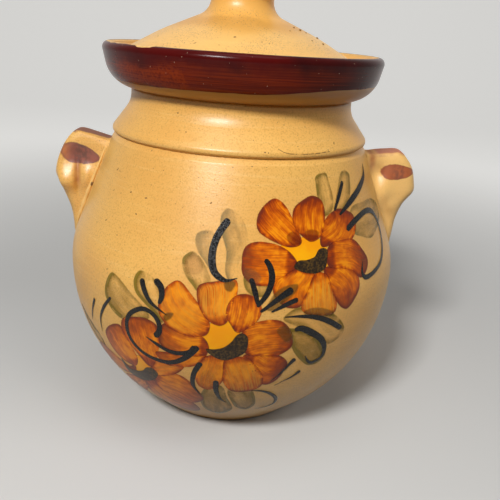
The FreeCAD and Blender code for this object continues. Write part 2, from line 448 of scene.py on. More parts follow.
class Tree:
    """Short ways to add the nodes that the materials and the world share."""

    def __init__(self, node_tree):
        self.nodes = node_tree.nodes
        self.links = node_tree.links

    def feed(self, socket, value):
        if isinstance(value, bpy.types.NodeSocket):
            self.links.new(value, socket)
        else:
            socket.default_value = value

    def add(self, kind, inputs, **settings):
        made = self.nodes.new(kind)
        for name, value in settings.items():
            setattr(made, name, value)
        for key, value in inputs.items():
            self.feed(made.inputs[key], value)
        return made

    def math(self, operation, first, second=0.0, clamp=False):
        made = self.add("ShaderNodeMath", {0: first, 1: second}, operation=operation, use_clamp=clamp)
        return made.outputs[0]

    def product(self, *values):
        total = values[0]
        for value in values[1:]:
            total = self.math("MULTIPLY", total, value)
        return total

    def total(self, *terms):
        """Sum of values and of (value, weight) pairs."""
        total = 0.0
        for term in terms:
            if isinstance(term, tuple):
                term = self.math("MULTIPLY", *term)
            total = self.math("ADD", term, total)
        return total

    def most(self, *values):
        most = values[0]
        for value in values[1:]:
            most = self.math("MAXIMUM", most, value)
        return most

    def centred(self, value):
        """Noise about 0."""
        return self.total(value, -NOISE_MEAN)

    def vector(self, operation, first, second):
        made = self.add("ShaderNodeVectorMath", {0: first, 1: second}, operation=operation)
        return made.outputs["Value" if operation == "DOT_PRODUCT" else "Vector"]

    def parts(self, vector):
        return self.add("ShaderNodeSeparateXYZ", {0: vector}).outputs[:3]

    def join(self, x, y, z):
        return self.add("ShaderNodeCombineXYZ", {0: x, 1: y, 2: z}).outputs[0]

    def fade(self, value, low, high):
        """0 below low, 1 above high, smooth between them. Falls where low is above high."""
        inputs = {"Value": value, "From Min": low, "From Max": high}
        return self.add("ShaderNodeMapRange", inputs, interpolation_type="SMOOTHSTEP").outputs[0]

    def mix(self, share, first, second):
        return self.add("ShaderNodeMix", {0: share, 6: first, 7: second}, data_type="RGBA").outputs[2]

    def layer(self, ground, colour, *shares, strength):
        """A colour over a ground where all the shares are high, at most at a strength."""
        return self.mix(self.product(*shares, strength), ground, colour)

    def ramp(self, value, *stops):
        """Colour between (position, colour) stops."""
        made = self.add("ShaderNodeValToRGB", {0: value})
        marks = made.color_ramp.elements
        while len(marks) < len(stops):
            marks.new(0.5)
        for mark, (position, colour) in zip(marks, stops):
            mark.position = position
            mark.color = colour
        return made.outputs[0]

    def noise(self, vector, scale, detail=2.0):
        made = self.add("ShaderNodeTexNoise", {"Vector": vector, "Scale": scale, "Detail": detail})
        return made.outputs[0]

    def specks(self, vector, scale, share, size):
        """1 in round specks: a share of the cells has one, of up to a size in cell widths."""
        cells = self.add("ShaderNodeTexVoronoi", {"Vector": vector, "Scale": scale})
        chance = self.add("ShaderNodeSeparateColor", {0: cells.outputs["Color"]}).outputs
        chosen = self.math("GREATER_THAN", chance[0], 1 - share)
        radius = self.math("MULTIPLY", chance[1], size)
        beyond = self.math("SUBTRACT", cells.outputs["Distance"], radius)
        return self.math("MULTIPLY", chosen, self.fade(beyond, size * SPECK_SOFT_OUT, -size * SPECK_SOFT_IN))

    def position_mm(self):
        place = self.add("ShaderNodeTexCoord", {}).outputs["Object"]
        return self.add("ShaderNodeVectorMath", {0: place, "Scale": MM_PER_M}, operation="SCALE").outputs[0]

    def upward(self):
        """1 on a face that looks up, -1 on one that looks down."""
        return self.parts(self.add("ShaderNodeNewGeometry", {}).outputs["Normal"])[2]

    def background_rays(self):
        """1 for rays from the camera, off glossy faces and through glass, which show the background."""
        path = self.add("ShaderNodeLightPath", {}).outputs
        return self.most(path["Is Camera Ray"], path["Is Glossy Ray"], path["Is Transmission Ray"])


class Paint(Tree):
    """A new material and the ways to add nodes that glazes and paints share."""

    def __init__(self, name):
        self.material = bpy.data.materials.new(name)
        self.material.use_nodes = True
        super().__init__(self.material.node_tree)
        self.inputs = self.nodes["Principled BSDF"].inputs

    def attribute(self, name):
        return self.parts(self.add("ShaderNodeAttribute", {}, attribute_name=name).outputs["Vector"])

    def strokes(self, lengthwise, crosswise, detail=3.0):
        """Noise drawn out along the brush, different in each stroke."""
        run, reach, seed = self.attribute("brush")
        place = (self.math("MULTIPLY", run, lengthwise), self.math("MULTIPLY", reach, crosswise))
        return self.noise(self.join(*place, self.math("MULTIPLY", seed, STROKES_APART)), 1.0, detail)

    def soft_edge(self, width_mm):
        """Opacity that rises over a width from the border of a patch."""
        return self.fade(self.attribute("place")[2], 0.0, width_mm)

    def finish(self, colour, roughness, height, depth_mm, alpha=1.0, gloss=PAINT_GLOSS):
        bump = self.add("ShaderNodeBump", {"Height": height, "Distance": depth_mm * MM, "Strength": 1.0})
        self.feed(self.inputs["Base Color"], colour)
        self.feed(self.inputs["Roughness"], roughness)
        self.feed(self.inputs["Normal"], bump.outputs[0])
        self.feed(self.inputs["Alpha"], alpha)
        self.inputs["Specular IOR Level"].default_value = gloss
        return self.material


def glaze_layers(tree, seed):
    """Colour, roughness and height of the ochre glaze: clouds, throwing lines, specks and pinholes."""
    at = tree.vector("ADD", tree.position_mm(), tuple(seed * apart for apart in GLAZES_APART_MM))
    cloud = tree.noise(at, scale=0.022, detail=4.0)
    lines = tree.noise(tree.vector("MULTIPLY", at, THROWING_LINES), scale=1.0, detail=3.0)
    grain = tree.noise(at, scale=1.3, detail=3.0)
    peel = tree.noise(at, scale=1.7)
    colour = tree.mix(tree.fade(cloud, 0.35, 0.68), OCHRE_WARM, OCHRE)
    colour = tree.layer(colour, OCHRE_PALE, tree.fade(lines, 0.52, 0.75), strength=0.5)
    colour = tree.layer(colour, OCHRE_GRAIN, tree.fade(grain, 0.54, 0.30), strength=0.80)
    dust = tree.specks(at, scale=0.60, share=0.40, size=0.13)
    spots = tree.specks(at, scale=0.15, share=0.13, size=0.055)
    specks = tree.most(dust, spots)
    colour = tree.layer(colour, UMBER, specks, strength=0.75)
    bare = tree.fade(tree.parts(at)[2], GLAZED_FOOT_MM, BARE_FOOT_MM)
    colour = tree.mix(bare, colour, CLAY)
    glazed_roughness = tree.total((grain, GLAZE_GRAIN_ROUGHER), GLAZE_ROUGHNESS)
    roughness = tree.most(glazed_roughness, tree.product(bare, CLAY_ROUGHNESS))
    height = tree.total((peel, 0.9), (grain, 0.8), (lines, 0.4), (specks, -1.0))
    return colour, roughness, height


def glaze(name, seed, pale=0.0):
    """Ochre glaze, which can be paler; the seam's bead uses the palest as a painted highlight."""
    tree = Paint(name)
    colour, roughness, height = glaze_layers(tree, seed)
    colour = tree.mix(pale, colour, OCHRE_PALE)
    return tree.finish(colour, roughness, height, GLAZE_DEPTH_MM, gloss=GLAZE_GLOSS)


def lid_glaze():
    """Paler ochre glaze: golden on the knob and round its foot, painted shade round that foot and underneath,
    grimy on top.
    """
    tree = Paint("lid_glaze")
    colour, roughness, height = glaze_layers(tree, 1)
    colour = tree.mix(LID_PALE, colour, OCHRE_PALE)
    at = tree.position_mm()
    low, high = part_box("lid_knob")
    axis = ((low[0] + high[0]) / 2 / MM, (low[1] + high[1]) / 2 / MM, 0.0)
    out = tree.vector("MULTIPLY", tree.vector("SUBTRACT", at, axis), (1.0, 1.0, 0.0))
    radius = tree.math("SQRT", tree.vector("DOT_PRODUCT", out, out))
    cloud = tree.noise(at, scale=0.05, detail=3.0)
    near = tree.total(radius, (cloud, LID_BLUR_MM))
    colour = tree.layer(colour, OCHRE_GOLDEN, tree.fade(near, *LID_GOLDEN_MM), strength=0.85)
    # Painted shade: a brown ring darkens the glaze round the knob's foot
    pooled = tree.product(tree.fade(near, *LID_SHADE_RING_INNER_MM), tree.fade(near, *LID_SHADE_RING_OUTER_MM))
    colour = tree.layer(colour, OCHRE_PAINTED_SHADE, pooled, strength=0.28)
    upward = tree.upward()
    # Painted shade: faces that look down are darkened to brown
    colour = tree.layer(colour, OCHRE_PAINTED_SHADE, tree.fade(upward, -0.15, -0.60), strength=0.9)
    lying = tree.product(tree.fade(upward, 0.35, 0.75), tree.fade(cloud, 0.30, 0.58))
    coarse = tree.specks(at, scale=1.00, share=0.55, size=0.30)
    sparse = tree.specks(at, scale=0.45, share=0.30, size=0.15)
    fine = tree.specks(at, scale=1.90, share=0.45, size=0.34)
    grime = tree.most(coarse, sparse, tree.product(fine, 0.7))
    dust = tree.fade(tree.noise(at, scale=1.1, detail=3.0), 0.47, 0.68)
    colour = tree.layer(colour, DUST, lying, dust, strength=0.38)
    colour = tree.layer(colour, UMBER, lying, grime, strength=0.7)
    return tree.finish(colour, roughness, height, GLAZE_DEPTH_MM, gloss=GLAZE_GLOSS)


def petal_paint():
    """Orange wash: golden where thin, red-brown where it pooled at the tip, the edges and the root."""
    tree = Paint("petal_paint")
    along, across, edge = tree.attribute("place")
    thin, side, deep = tree.attribute("load")
    at = tree.position_mm()
    streak = tree.strokes(lengthwise=0.05, crosswise=1.9, detail=4.0)
    wash = tree.strokes(lengthwise=0.13, crosswise=0.34)
    blotch = tree.noise(at, scale=0.32, detail=3.0)
    tip = tree.fade(along, 0.40, 1.0)
    root = tree.fade(along, 0.27, 0.19)
    pooled = tree.product(tree.fade(edge, 2.6, 0.2), tree.fade(blotch, 0.25, 0.6))
    depth = tree.total(
        PETAL_DEPTH, (tree.total((tip, 1.05), 0.1), deep), (tree.product(root, deep), 0.6), (pooled, 0.40),
        (tree.centred(wash), 1.1), (tree.centred(streak), 0.9), (tree.centred(blotch), 0.5),
        (tree.product(side, across), 0.3))
    colour = tree.ramp(depth, *PETAL_TONES)
    pale = tree.product(tree.fade(streak, 0.36, 0.62), tree.fade(edge, 0.4, 2.2), thin)
    colour = tree.layer(colour, CREAM, pale, tree.fade(along, 0.12, 0.35), strength=0.75)
    colour = tree.layer(colour, UMBER, tree.specks(at, scale=0.5, share=0.14, size=0.10), strength=0.7)
    return tree.finish(
        colour, PAINT_ROUGHNESS, streak, depth_mm=0.012, alpha=tree.soft_edge(0.45), gloss=PETAL_GLOSS)


def leaf_paint():
    """Thin olive wash: dense at its edge and on the side of the brush that held more paint."""
    tree = Paint("leaf_paint")
    along, across, edge = tree.attribute("place")
    thin, side, grey = tree.attribute("load")
    streak = tree.strokes(lengthwise=0.04, crosswise=0.9, detail=4.0)
    wash = tree.strokes(lengthwise=0.09, crosswise=0.22)
    colour = tree.mix(grey, LEAF_OLIVE, LEAF_GREY)
    blotch = tree.noise(tree.position_mm(), scale=0.15)
    border = tree.product(
        tree.fade(edge, 4.0, 0.2), tree.fade(blotch, 0.28, 0.52), tree.total((grey, -0.75), 0.64))
    density = tree.total(
        LEAF_DENSITY, border, (tree.product(side, across), 0.38), (tree.centred(streak), 0.28),
        (tree.centred(wash), 0.9), (thin, -0.2), (tree.fade(along, 0.5, 1.0), 0.12))
    alpha = tree.product(tree.math("MULTIPLY", density, 1.0, clamp=True), tree.soft_edge(0.8), LEAF_COVER)
    return tree.finish(colour, PAINT_ROUGHNESS, streak, depth_mm=0.01, alpha=alpha)


def tint_paint():
    """Wash over a petal: olive or grey where a leaf crosses it, red-brown where it pooled at the root."""
    tree = Paint("tint_paint")
    thin, grey, red = tree.attribute("load")
    streak = tree.strokes(lengthwise=0.1, crosswise=0.9)
    colour = tree.mix(tree.fade(streak, 0.3, 0.7), TINT_BROWN, TINT_OLIVE)
    colour = tree.mix(grey, colour, TINT_GREY)
    colour = tree.mix(red, colour, TINT_RED)
    alpha = tree.product(tree.soft_edge(1.0), tree.total((thin, -0.5), TINT_DENSITY))
    return tree.finish(colour, PAINT_ROUGHNESS, streak, depth_mm=0.01, alpha=alpha)


def centre_paint():
    """Plain strong yellow with a faint cloud."""
    tree = Paint("centre_paint")
    cloud = tree.noise(tree.position_mm(), scale=0.12, detail=3.0)
    colour = tree.mix(tree.fade(cloud, 0.35, 0.7), YELLOW, YELLOW_LIGHT)
    return tree.finish(colour, PAINT_ROUGHNESS, cloud, depth_mm=0.02, alpha=tree.soft_edge(0.6))


def crescent_paint():
    """Black laid thinly over olive, so that it mottles."""
    tree = Paint("crescent_paint")
    mottle = tree.noise(tree.position_mm(), scale=0.9, detail=4.0)
    colour = tree.mix(tree.fade(mottle, 0.42, 0.70), CRESCENT_BLACK, CRESCENT_OLIVE)
    return tree.finish(colour, PAINT_ROUGHNESS, mottle, depth_mm=0.02, alpha=tree.soft_edge(0.35))


def black_paint():
    """Black slip with a little grey where it is dry, and dull grains in its gloss."""
    tree = Paint("black_paint")
    at = tree.position_mm()
    dry = tree.noise(at, scale=1.2, detail=4.0)
    grains = tree.fade(tree.noise(at, scale=1.3), 0.40, 0.60)
    colour = tree.mix(tree.fade(dry, 0.52, 0.75), BLACK, BLACK_DRY)
    roughness = tree.total((grains, BLACK_GRAINS_ROUGHER), BLACK_ROUGHNESS)
    return tree.finish(colour, roughness, grains, depth_mm=0.03, alpha=tree.soft_edge(0.22))


def rim_paint():
    """Wine-brown slip on the lid's rim: streaks round the rim, a rusty thin patch, pale pinholes and painted
    shade to the right.
    """
    tree = Paint("rim_paint")
    across = tree.attribute("place")[1]
    thin, painted_shade = tree.attribute("load")[:2]
    at = tree.position_mm()
    streak = tree.strokes(lengthwise=0.03, crosswise=1.7, detail=4.0)
    cloud = tree.noise(at, scale=0.06, detail=3.0)
    weave = tree.noise(at, scale=0.9)
    # Painted shade: towards the right the wine turns darker and keeps less rust
    colour = tree.mix(tree.fade(tree.total(cloud, (painted_shade, 0.35)), 0.42, 0.85), WINE, WINE_DARK)
    border = tree.noise(at, scale=0.16, detail=3.0)
    ragged = tree.total(across, (border, 0.8))
    thinned = tree.total(thin, (border, 1.1), (across, -0.25))
    patch = tree.product(tree.fade(thinned, 0.75, 1.25), tree.fade(ragged, 0.75, 0.20))
    lower = tree.product(
        tree.fade(ragged, 1.0, -0.10), tree.total((painted_shade, -0.65), 1.0),
        tree.total((tree.fade(streak, 0.38, 0.68), 0.7), 0.3))
    woven = tree.total((tree.fade(tree.total(streak, weave), 0.72, 1.15), 0.75), 0.25)
    rust = tree.most(tree.product(patch, woven), tree.product(lower, 0.85))
    colour = tree.mix(rust, colour, RUST)
    pinholes = tree.specks(at, scale=0.55, share=0.38, size=0.10)
    colour = tree.mix(pinholes, colour, RIM_PINHOLE)
    height = tree.total((streak, 0.8), (pinholes, -1.0))
    return tree.finish(colour, RIM_ROUGHNESS, height, depth_mm=0.02, gloss=RIM_GLOSS)


def mark_paint(name, broken=0.0):
    """Dirt in pits and scratches of the glaze, broken up by bare stretches."""
    tree = Paint(name)
    at = tree.position_mm()
    dirt = tree.noise(at, scale=2.0)
    gaps = tree.noise(at, scale=0.7, detail=3.0)
    colour = tree.mix(dirt, DIRT, DIRT_PALE)
    alpha = tree.total(1.0, (tree.fade(gaps, 0.42, 0.58), -broken))
    return tree.finish(colour, DIRT_ROUGHNESS, dirt, depth_mm=0.05, alpha=alpha)


# The painted spray on the jar's front: outlines and brush lines, by pixels of the picture

# A petal's load is (thin, side, deep), a leaf's (thin, side, grey) and a tint's (thin, grey, red). Thin paint
# lets the ground show, and side is the side of the brush that was fuller: -1 the first side, 1 the other.
Patch = namedtuple("Patch", "base one tip other load", defaults=((0, 0, 0.4),))
Line = namedtuple("Line", "path widths_mm")

UPPER_PETALS = {
    "left": Patch(
        (296, 265), [(293, 258), (285, 250), (271, 244), (253, 243), (245, 248)], (242, 262),
        [(289, 273), (276, 282), (262, 285), (251, 283), (243, 274)], (0.1, 0, 0.75)),
    "low_left": Patch(
        (305, 272), [(295, 271), (285, 277), (275, 283), (274, 294), (283, 305)], (291, 308),
        [(314, 275), (312, 285), (306, 298), (300, 306)], (0.25, 0, 0.65)),
    "low_right": Patch(
        (325, 270), [(332, 267), (347, 268), (357, 275), (359, 286), (355, 297)], (347, 308),
        [(327, 278), (332, 290), (337, 301), (342, 307)], (0.1, 0.3, 0.78)),
    "bottom": Patch(
        (318, 274), [(326, 276), (331, 288), (336, 302), (334, 312)], (320, 315),
        [(313, 279), (309, 290), (302, 304), (303, 311)], (1, 0, 0.35)),
    "upper_right": Patch(
        (322, 245), [(321, 237), (325, 221), (331, 213)], (338, 209),
        [(332, 243), (350, 240), (355, 227), (353, 216), (347, 211)], (0, 0.2, 0.75)),
    "right": Patch(
        (327, 256), [(330, 246), (342, 241), (353, 240), (360, 247)], (367, 259),
        [(329, 265), (342, 267), (353, 270), (360, 277), (366, 270)], (0.1, 0, 0.95)),
    "upper_left": Patch(
        (300, 242), [(292, 246), (273, 240), (258, 229), (258, 216)], (265, 205),
        [(297, 232), (291, 218), (283, 204), (274, 199)], (0, -0.3, 0.6)),
    "top": Patch(
        (311, 240), [(305, 237), (297, 229), (293, 219), (294, 209), (302, 201)], (312, 196),
        [(319, 236), (323, 225), (324, 213), (321, 201)], (0, -0.3, 0.8)),
}
MIDDLE_PETALS = {
    "low_left": Patch(
        (207, 347), [(199, 351), (184, 355), (165, 352)], (156, 352),
        [(204, 357), (194, 365), (181, 366), (165, 363)], (0.3, 0, 0.45)),
    "left": Patch(
        (207, 346), [(201, 337), (189, 335), (175, 329), (165, 323)], (160, 330),
        [(204, 354), (191, 355), (176, 352), (161, 344)], (0.2, 0, 0.8)),
    "bottom_left": Patch(
        (215, 356), [(207, 357), (199, 366), (196, 376), (199, 385)], (207, 389),
        [(225, 360), (226, 371), (221, 382), (215, 387)], (0.45, 0, 0.2)),
    "low_right": Patch(
        (245, 356), [(257, 354), (272, 354), (282, 357)], (287, 363),
        [(248, 363), (257, 375), (264, 384), (275, 380), (283, 371)], (0.05, 0.2, 0.85)),
    "bottom": Patch(
        (235, 358), [(245, 358), (255, 366), (262, 377), (260, 386)], (245, 391),
        [(226, 360), (224, 371), (224, 382), (231, 390)], (0.7, 0.2, 0.5)),
    "right": Patch(
        (245, 345), [(243, 333), (252, 325), (265, 321), (280, 321), (288, 327)], (292, 338),
        [(247, 353), (262, 355), (279, 354), (291, 346)], (0.1, -0.2, 0.7)),
    "upper_left": Patch(
        (208, 328), [(205, 334), (191, 335), (169, 326), (159, 310), (162, 295)], (169, 285),
        [(208, 322), (201, 309), (191, 295), (179, 281)], (0.6, -0.3, 0.22)),
    "top": Patch(
        (220, 324), [(211, 321), (203, 312), (198, 299), (199, 286)], (213, 282),
        [(226, 321), (229, 308), (236, 295), (236, 281), (226, 281)], (0.8, -0.6, 0.4)),
    "upper_right": Patch(
        (238, 331), [(232, 324), (227, 314), (229, 304), (236, 296)], (245, 294),
        [(248, 326), (258, 318), (261, 309), (257, 299), (252, 296)], (0.05, -0.3, 0.45)),
}
LOWER_PETALS = {
    "hidden_left": Patch(
        (135, 366), [(130, 366), Beyond(-52, 50)], Beyond(-57, 43),
        [(134, 372), Beyond(-50, 36)], (0.2, 0, 0.6)),
    "hidden_bottom": Patch(
        (142, 375), [(135, 375), Beyond(-46, 31)], Beyond(-46, 22),
        [(147, 382), Beyond(-38, 24)], (0.2, 0, 0.6)),
    "bottom": Patch(
        (149, 379), [(160, 383), (178, 394), (191, 401)], (200, 409),
        [(149, 387), (162, 398), (178, 406), (191, 410)], (0.2, 0, 0.65)),
    "low_right": Patch(
        (155, 376), [(167, 373), (181, 376), (193, 385)], (203, 399),
        [(160, 387), (175, 395), (191, 402)], (0.3, 0, 0.6)),
    "right": Patch(
        (152, 367), [(158, 361), (172, 361)], (184, 365),
        [(158, 374), (172, 374), (181, 370)], (0.5, 0, 0.4)),
    "left": Patch(
        (135, 364), [(127, 361), (116, 351), (109, 340), (106, 332)], (111, 325),
        [(137, 358), (132, 347), (125, 334), (120, 325)], (0.2, -0.4, 0.65)),
    "top": Patch(
        (150, 365), [(141, 356), (129, 340), (122, 326), (123, 319)], (136, 317),
        [(155, 360), (158, 348), (160, 336), (156, 325), (147, 319)], (0.1, -0.3, 0.55)),
}
CENTRES = {
    "upper": Patch(
        (280, 247), [(292, 242), (306, 236)], (322, 241),
        [(285, 257), (305, 271), (326, 269), (328, 252)]),
    "middle": Patch(
        (200, 340), [(206, 326), (221, 320)], (235, 322),
        [(205, 350), (220, 352), (236, 344), (240, 331)]),
    "lower": Patch((131, 362), [(137, 355), (146, 358)], (153, 367), [(138, 371), (148, 374)]),
}
CRESCENTS = {
    "upper": Patch(
        (294, 267), [(298, 261), (307, 260), (315, 256), (318, 250)], (323, 248),
        [(297, 270), (307, 273), (317, 273), (325, 268), (327, 258), (327, 250)]),
    "middle": Patch(
        (206, 349), [(215, 349), (224, 347), (232, 341), (237, 335)], (242, 333),
        [(213, 356), (224, 360), (236, 357), (245, 352), (248, 343), (247, 336)]),
    "lower": Patch(
        (122, 358), [(130, 367), (137, 370), (143, 370), (147, 367)], (153, 368),
        [(129, 370), (138, 377), (148, 380), (156, 378), (158, 373)]),
}
LEAVES = {
    "far_left": Patch(
        (108, 351), [(104, 341), (99, 332)], (96, 328),
        [Beyond(-61, 58), Beyond(-63, 67)], (0, 0, 0)),
    "left": Patch(
        (140, 322), [(122, 319), (111, 308), (105, 294), (106, 281)], (112, 272),
        [(150, 317), (143, 306), (132, 294), (122, 281)], (0.1, -0.8, 0)),
    "left_inner": Patch(
        (162, 323), [(156, 315), (145, 304), (135, 291), (134, 278)], (140, 270),
        [(167, 317), (166, 304), (160, 288), (152, 276)], (0.9, -0.8, 0)),
    "brown": Patch(
        (197, 291), [(192, 285), (185, 275), (182, 263), (183, 257)], (192, 251),
        [(211, 283), (209, 273), (204, 262), (197, 253)], (0.9, -0.8, 0.1)),
    "grey": Patch(
        (211, 270), [(204, 261), (198, 252), (195, 240), (197, 233)], (206, 230),
        [(213, 257), (216, 238), (213, 231)], (0.1, -0.5, 0.65)),
    "pale": Patch(
        (230, 282), [(225, 273), (226, 251), (222, 236), (220, 221), (222, 213)], (228, 208),
        [(239, 264), (249, 245), (248, 233), (243, 219), (235, 211)], (0.2, -0.8, 0.6)),
    "between": Patch(
        (262, 278), [(244, 276), (244, 286), (248, 293)], (256, 297),
        [(270, 284), (270, 292), (264, 297)], (0.2, 0, 0.1)),
    "top_first": Patch(
        (324, 216), [(317, 197), (316, 188), (315, 177)], (321, 173),
        [(332, 211), (333, 197), (329, 182), (326, 173)], (0.1, -0.5, 0.1)),
    "top_second": Patch(
        (338, 213), [(333, 208), (336, 195), (338, 183), (340, 173)], (344, 170),
        [(343, 209), (350, 195), (350, 183), (349, 174)], (0.5, 0.2, 0.2)),
    "right": Patch(
        (353, 232), [(350, 209), (363, 201), (371, 198)], (377, 205),
        [(363, 237), (371, 238), (376, 230), (379, 217)], (0.2, 0.2, 0.4)),
    "low_right": Patch(
        (283, 319), [(292, 310), (305, 306), (320, 307), (333, 313), (341, 320)], (344, 330),
        [(292, 325), (305, 329), (318, 337), (328, 344), (338, 338)], (1.3, -0.5, 0)),
    "under_hook": Patch(
        (287, 329), [(300, 329), (312, 334), (322, 343), (325, 354)], (318, 362),
        [(289, 338), (293, 351), (300, 360), (308, 365)], (-0.6, 0, 0)),
    "bottom_left": Patch(
        (210, 384), [(202, 391), (200, 399), (206, 409)], (218, 413),
        [(222, 386), (227, 397), (232, 409)], (-0.6, 0, 0.2)),
    "bottom_right": Patch(
        (232, 386), [(227, 391), (231, 401), (236, 407)], (246, 409),
        [(250, 388), (255, 397), (254, 405)], (-0.4, 0, 0)),
}
TINTS = {
    "on_left_petal": Patch((163, 317), [(167, 312)], (174, 313), [(165, 321), (171, 319)], (0, 0, 0)),
    "on_brown_leaf": Patch(
        (187, 273), [(184, 263), (187, 256)], (193, 252),
        [(200, 274), (204, 266), (199, 256)], (0.95, 0, 0.9)),
    "on_top_petal": Patch((224, 281), [(225, 290)], (231, 292), [(230, 279), (236, 283)], (0, 0, 0)),
    "on_low_left_petal": Patch(
        (266, 310), [(270, 299), (280, 288)], (298, 284),
        [(273, 311), (285, 302), (297, 291)], (0.1, 0, 0)),
    "on_bottom_petal": Patch(
        (303, 312), [(309, 308), (320, 307)], (334, 312),
        [(306, 316), (319, 317), (331, 316)], (0.3, 0, 0)),
    "on_right_petal": Patch(
        (276, 330), [(283, 325), (290, 328)], (293, 337),
        [(279, 336), (286, 342)], (0.4, 0, 0)),
    "on_left_tip": Patch(
        (244, 270), [(250, 268), (258, 272)], (262, 279),
        [(244, 278), (250, 285), (257, 285)], (0.7, 0.5, 0)),
    "on_bottom_left_petal": Patch(
        (201, 372), [(207, 369), (214, 373)], (217, 381),
        [(199, 380), (203, 387), (211, 388)], (1.0, 0.5, 0)),
    "root_upper_left": Patch(
        (301, 242), [(294, 246), (288, 242)], (286, 236),
        [(298, 234), (292, 231)], (0.3, 0, 1)),
    "root_top": Patch(
        (311, 241), [(305, 238), (304, 232)], (311, 229),
        [(318, 237), (319, 232)], (0.3, 0, 1)),
}
BLACK_LINES = {
    "c_stroke": Line(
        [(229.5, 219), (223, 227), (217, 237), (213, 249), (212, 261), (214, 271), (219, 277), (226, 280.5),
         (238, 278)],
        [3.7, 3.5, 3.6, 3.7, 3.6, 3.4, 2.9, 1.6, 0.3]),
    "fan_first": Line([(251, 278), (255, 292), (258, 305)], [2.3, 2.6, 1.6]),
    "fan_second": Line(
        [(265, 259), (270, 267), (272, 278), (268, 292), (257, 307)], [2.2, 2.9, 3.1, 2.6, 1.8]),
    "fan_third": Line([(293, 289), (281, 297), (260, 312)], [3.4, 2.8, 1.2]),
    "fan_fourth": Line([(298, 299), (287, 304), (271, 312)], [2.4, 2.2, 0.8]),
    "top_first": Line([(342, 181), (338, 197), (334, 211)], [2.3, 2.4, 1.4]),
    "top_second": Line(
        [(362, 163), (363, 174), (359, 187), (350, 201), (339, 215)], [0.6, 2.6, 3.4, 3.2, 1.2]),
    "right_hook": Line(
        [(346, 230), (355, 220), (365, 211), (371, 211), (377, 221), (381, 238), (381, 258), (375, 270),
         (365, 277), (362, 274), (362, 260)],
        [3.0, 3.0, 2.8, 2.7, 2.2, 2.0, 2.0, 2.3, 2.6, 2.0, 0.3]),
    "low_arc": Line([(284, 317), (300, 316), (316, 317), (329, 321), (341, 328)], [0.4, 1.4, 2.3, 2.8, 2.4]),
    "low_hook": Line(
        [(294, 330), (300, 328), (311, 332), (321, 339), (324, 347), (321, 356), (311, 362), (307, 360),
         (305, 355)],
        [2.2, 3.0, 3.4, 3.2, 2.6, 2.0, 1.7, 1.3, 0.3]),
    "tick_first": Line([(295, 358), (289, 364), (280, 373), (270, 381)], [2.8, 1.7, 1.1, 0.4]),
    "tick_second": Line([(300, 370), (292, 376), (284, 380), (274, 385)], [2.5, 1.3, 0.6, 0.3]),
    "bottom_loop": Line(
        [(250, 390), (261, 390.5), (270, 393), (275.5, 398), (273, 403), (264, 406.5), (254, 408)],
        [0.3, 1.4, 2.0, 2.2, 1.5, 0.8, 0.3]),
    "bottom_first": Line([(201, 362), (194, 373), (193, 384), (200, 394)], [3.0, 2.7, 2.4, 0.5]),
    "bottom_second": Line([(216, 380), (216, 390), (220, 398), (226, 402)], [3.0, 2.8, 1.8, 0.4]),
    "scroll": Line(
        [(155, 337), (160, 329), (156, 317), (146, 309), (138, 309), (129, 315), (127, 325), (131, 338),
         (141, 350), (154, 358), (171, 362), (186, 357), (197, 346)],
        [3.2, 2.8, 2.4, 2.3, 2.3, 2.3, 2.3, 2.2, 2.3, 2.4, 2.7, 3.0, 4.2]),
    "scroll_inner": Line(
        [(146, 336), (156, 343), (170, 351), (183, 353), (194, 350), (198, 346)],
        [0.4, 1.9, 2.5, 2.6, 2.8, 3.6]),
    "stem_first": Line([(142, 278), (145, 291), (151, 302), (167, 315)], [2.7, 2.6, 2.0, 0.3]),
    "stem_second": Line([(155, 279), (161, 287), (162, 296), (159, 304)], [3.2, 3.2, 2.8, 1.6]),
    "far_left_first": Line([(95, 298), (93, 309), (93, 319)], [1.6, 1.0, 0.2]),
    "far_left_second": Line([(111, 297), (104, 307), (101, 317), (103, 331)], [1.3, 1.9, 1.1, 0.2]),
}

# Heights of the paint layers over the glaze, in the order of the brush
LEAF_LIFT = 0.015 * MM
CENTRE_LIFT = 0.11 * MM
PETAL_LIFT = 0.12 * MM
FLOWER_STEP = 0.03 * MM
TINT_LIFT = 0.245 * MM
CRESCENT_LIFT = 0.255 * MM
BLACK_LIFT = 0.265 * MM
STROKE_STEP = 0.006 * MM
# Outlines are drawn this much larger, because the paint fades out towards them
SOFT_EDGE = 0.2 * MM
# How far outlines are moved outwards, at their base and at their tip
PATCH_SWELL = (SOFT_EDGE, SOFT_EDGE)
PETAL_SWELL = (1.0 * MM, 0.3 * MM)

# A layer's patches lie a step over each other, and the first of them has the layer's seed
Layer = namedtuple("Layer", "piece patches lift step seed swell", defaults=(PATCH_SWELL,))
SPRAY_LAYERS = [
    Layer("spray_leaves", LEAVES, LEAF_LIFT, STROKE_STEP, 1),
    Layer("spray_centres", CENTRES, CENTRE_LIFT, 0, 20),
    Layer("spray_petals", LOWER_PETALS, PETAL_LIFT, STROKE_STEP, 30, PETAL_SWELL),
    Layer("spray_petals", UPPER_PETALS, PETAL_LIFT + FLOWER_STEP, STROKE_STEP, 40, PETAL_SWELL),
    Layer("spray_petals", MIDDLE_PETALS, PETAL_LIFT + FLOWER_STEP * 2, STROKE_STEP, 50, PETAL_SWELL),
    Layer("spray_tints", TINTS, TINT_LIFT, 0, 60),
    Layer("spray_crescents", CRESCENTS, CRESCENT_LIFT, 0, 70),
]
BLACK_SEED = 80
SPRAY_PAINTS = {
    "spray_leaves": leaf_paint,
    "spray_centres": centre_paint,
    "spray_petals": petal_paint,
    "spray_tints": tint_paint,
    "spray_crescents": crescent_paint,
    "spray_black_lines": black_paint,
}


def add_patches(film, layer):
    for order, patch in enumerate(layer.patches.values()):
        seed = layer.seed + order
        corners = [patch.base, *patch.one, patch.tip, *reversed(patch.other)]
        flat = [film.surface.flat(corner) for corner in corners]
        grid = filled_outline(flat, len(patch.one) + 1, seed, layer.swell)
        film.add(grid, layer.lift + layer.step * order, seed, patch.load)


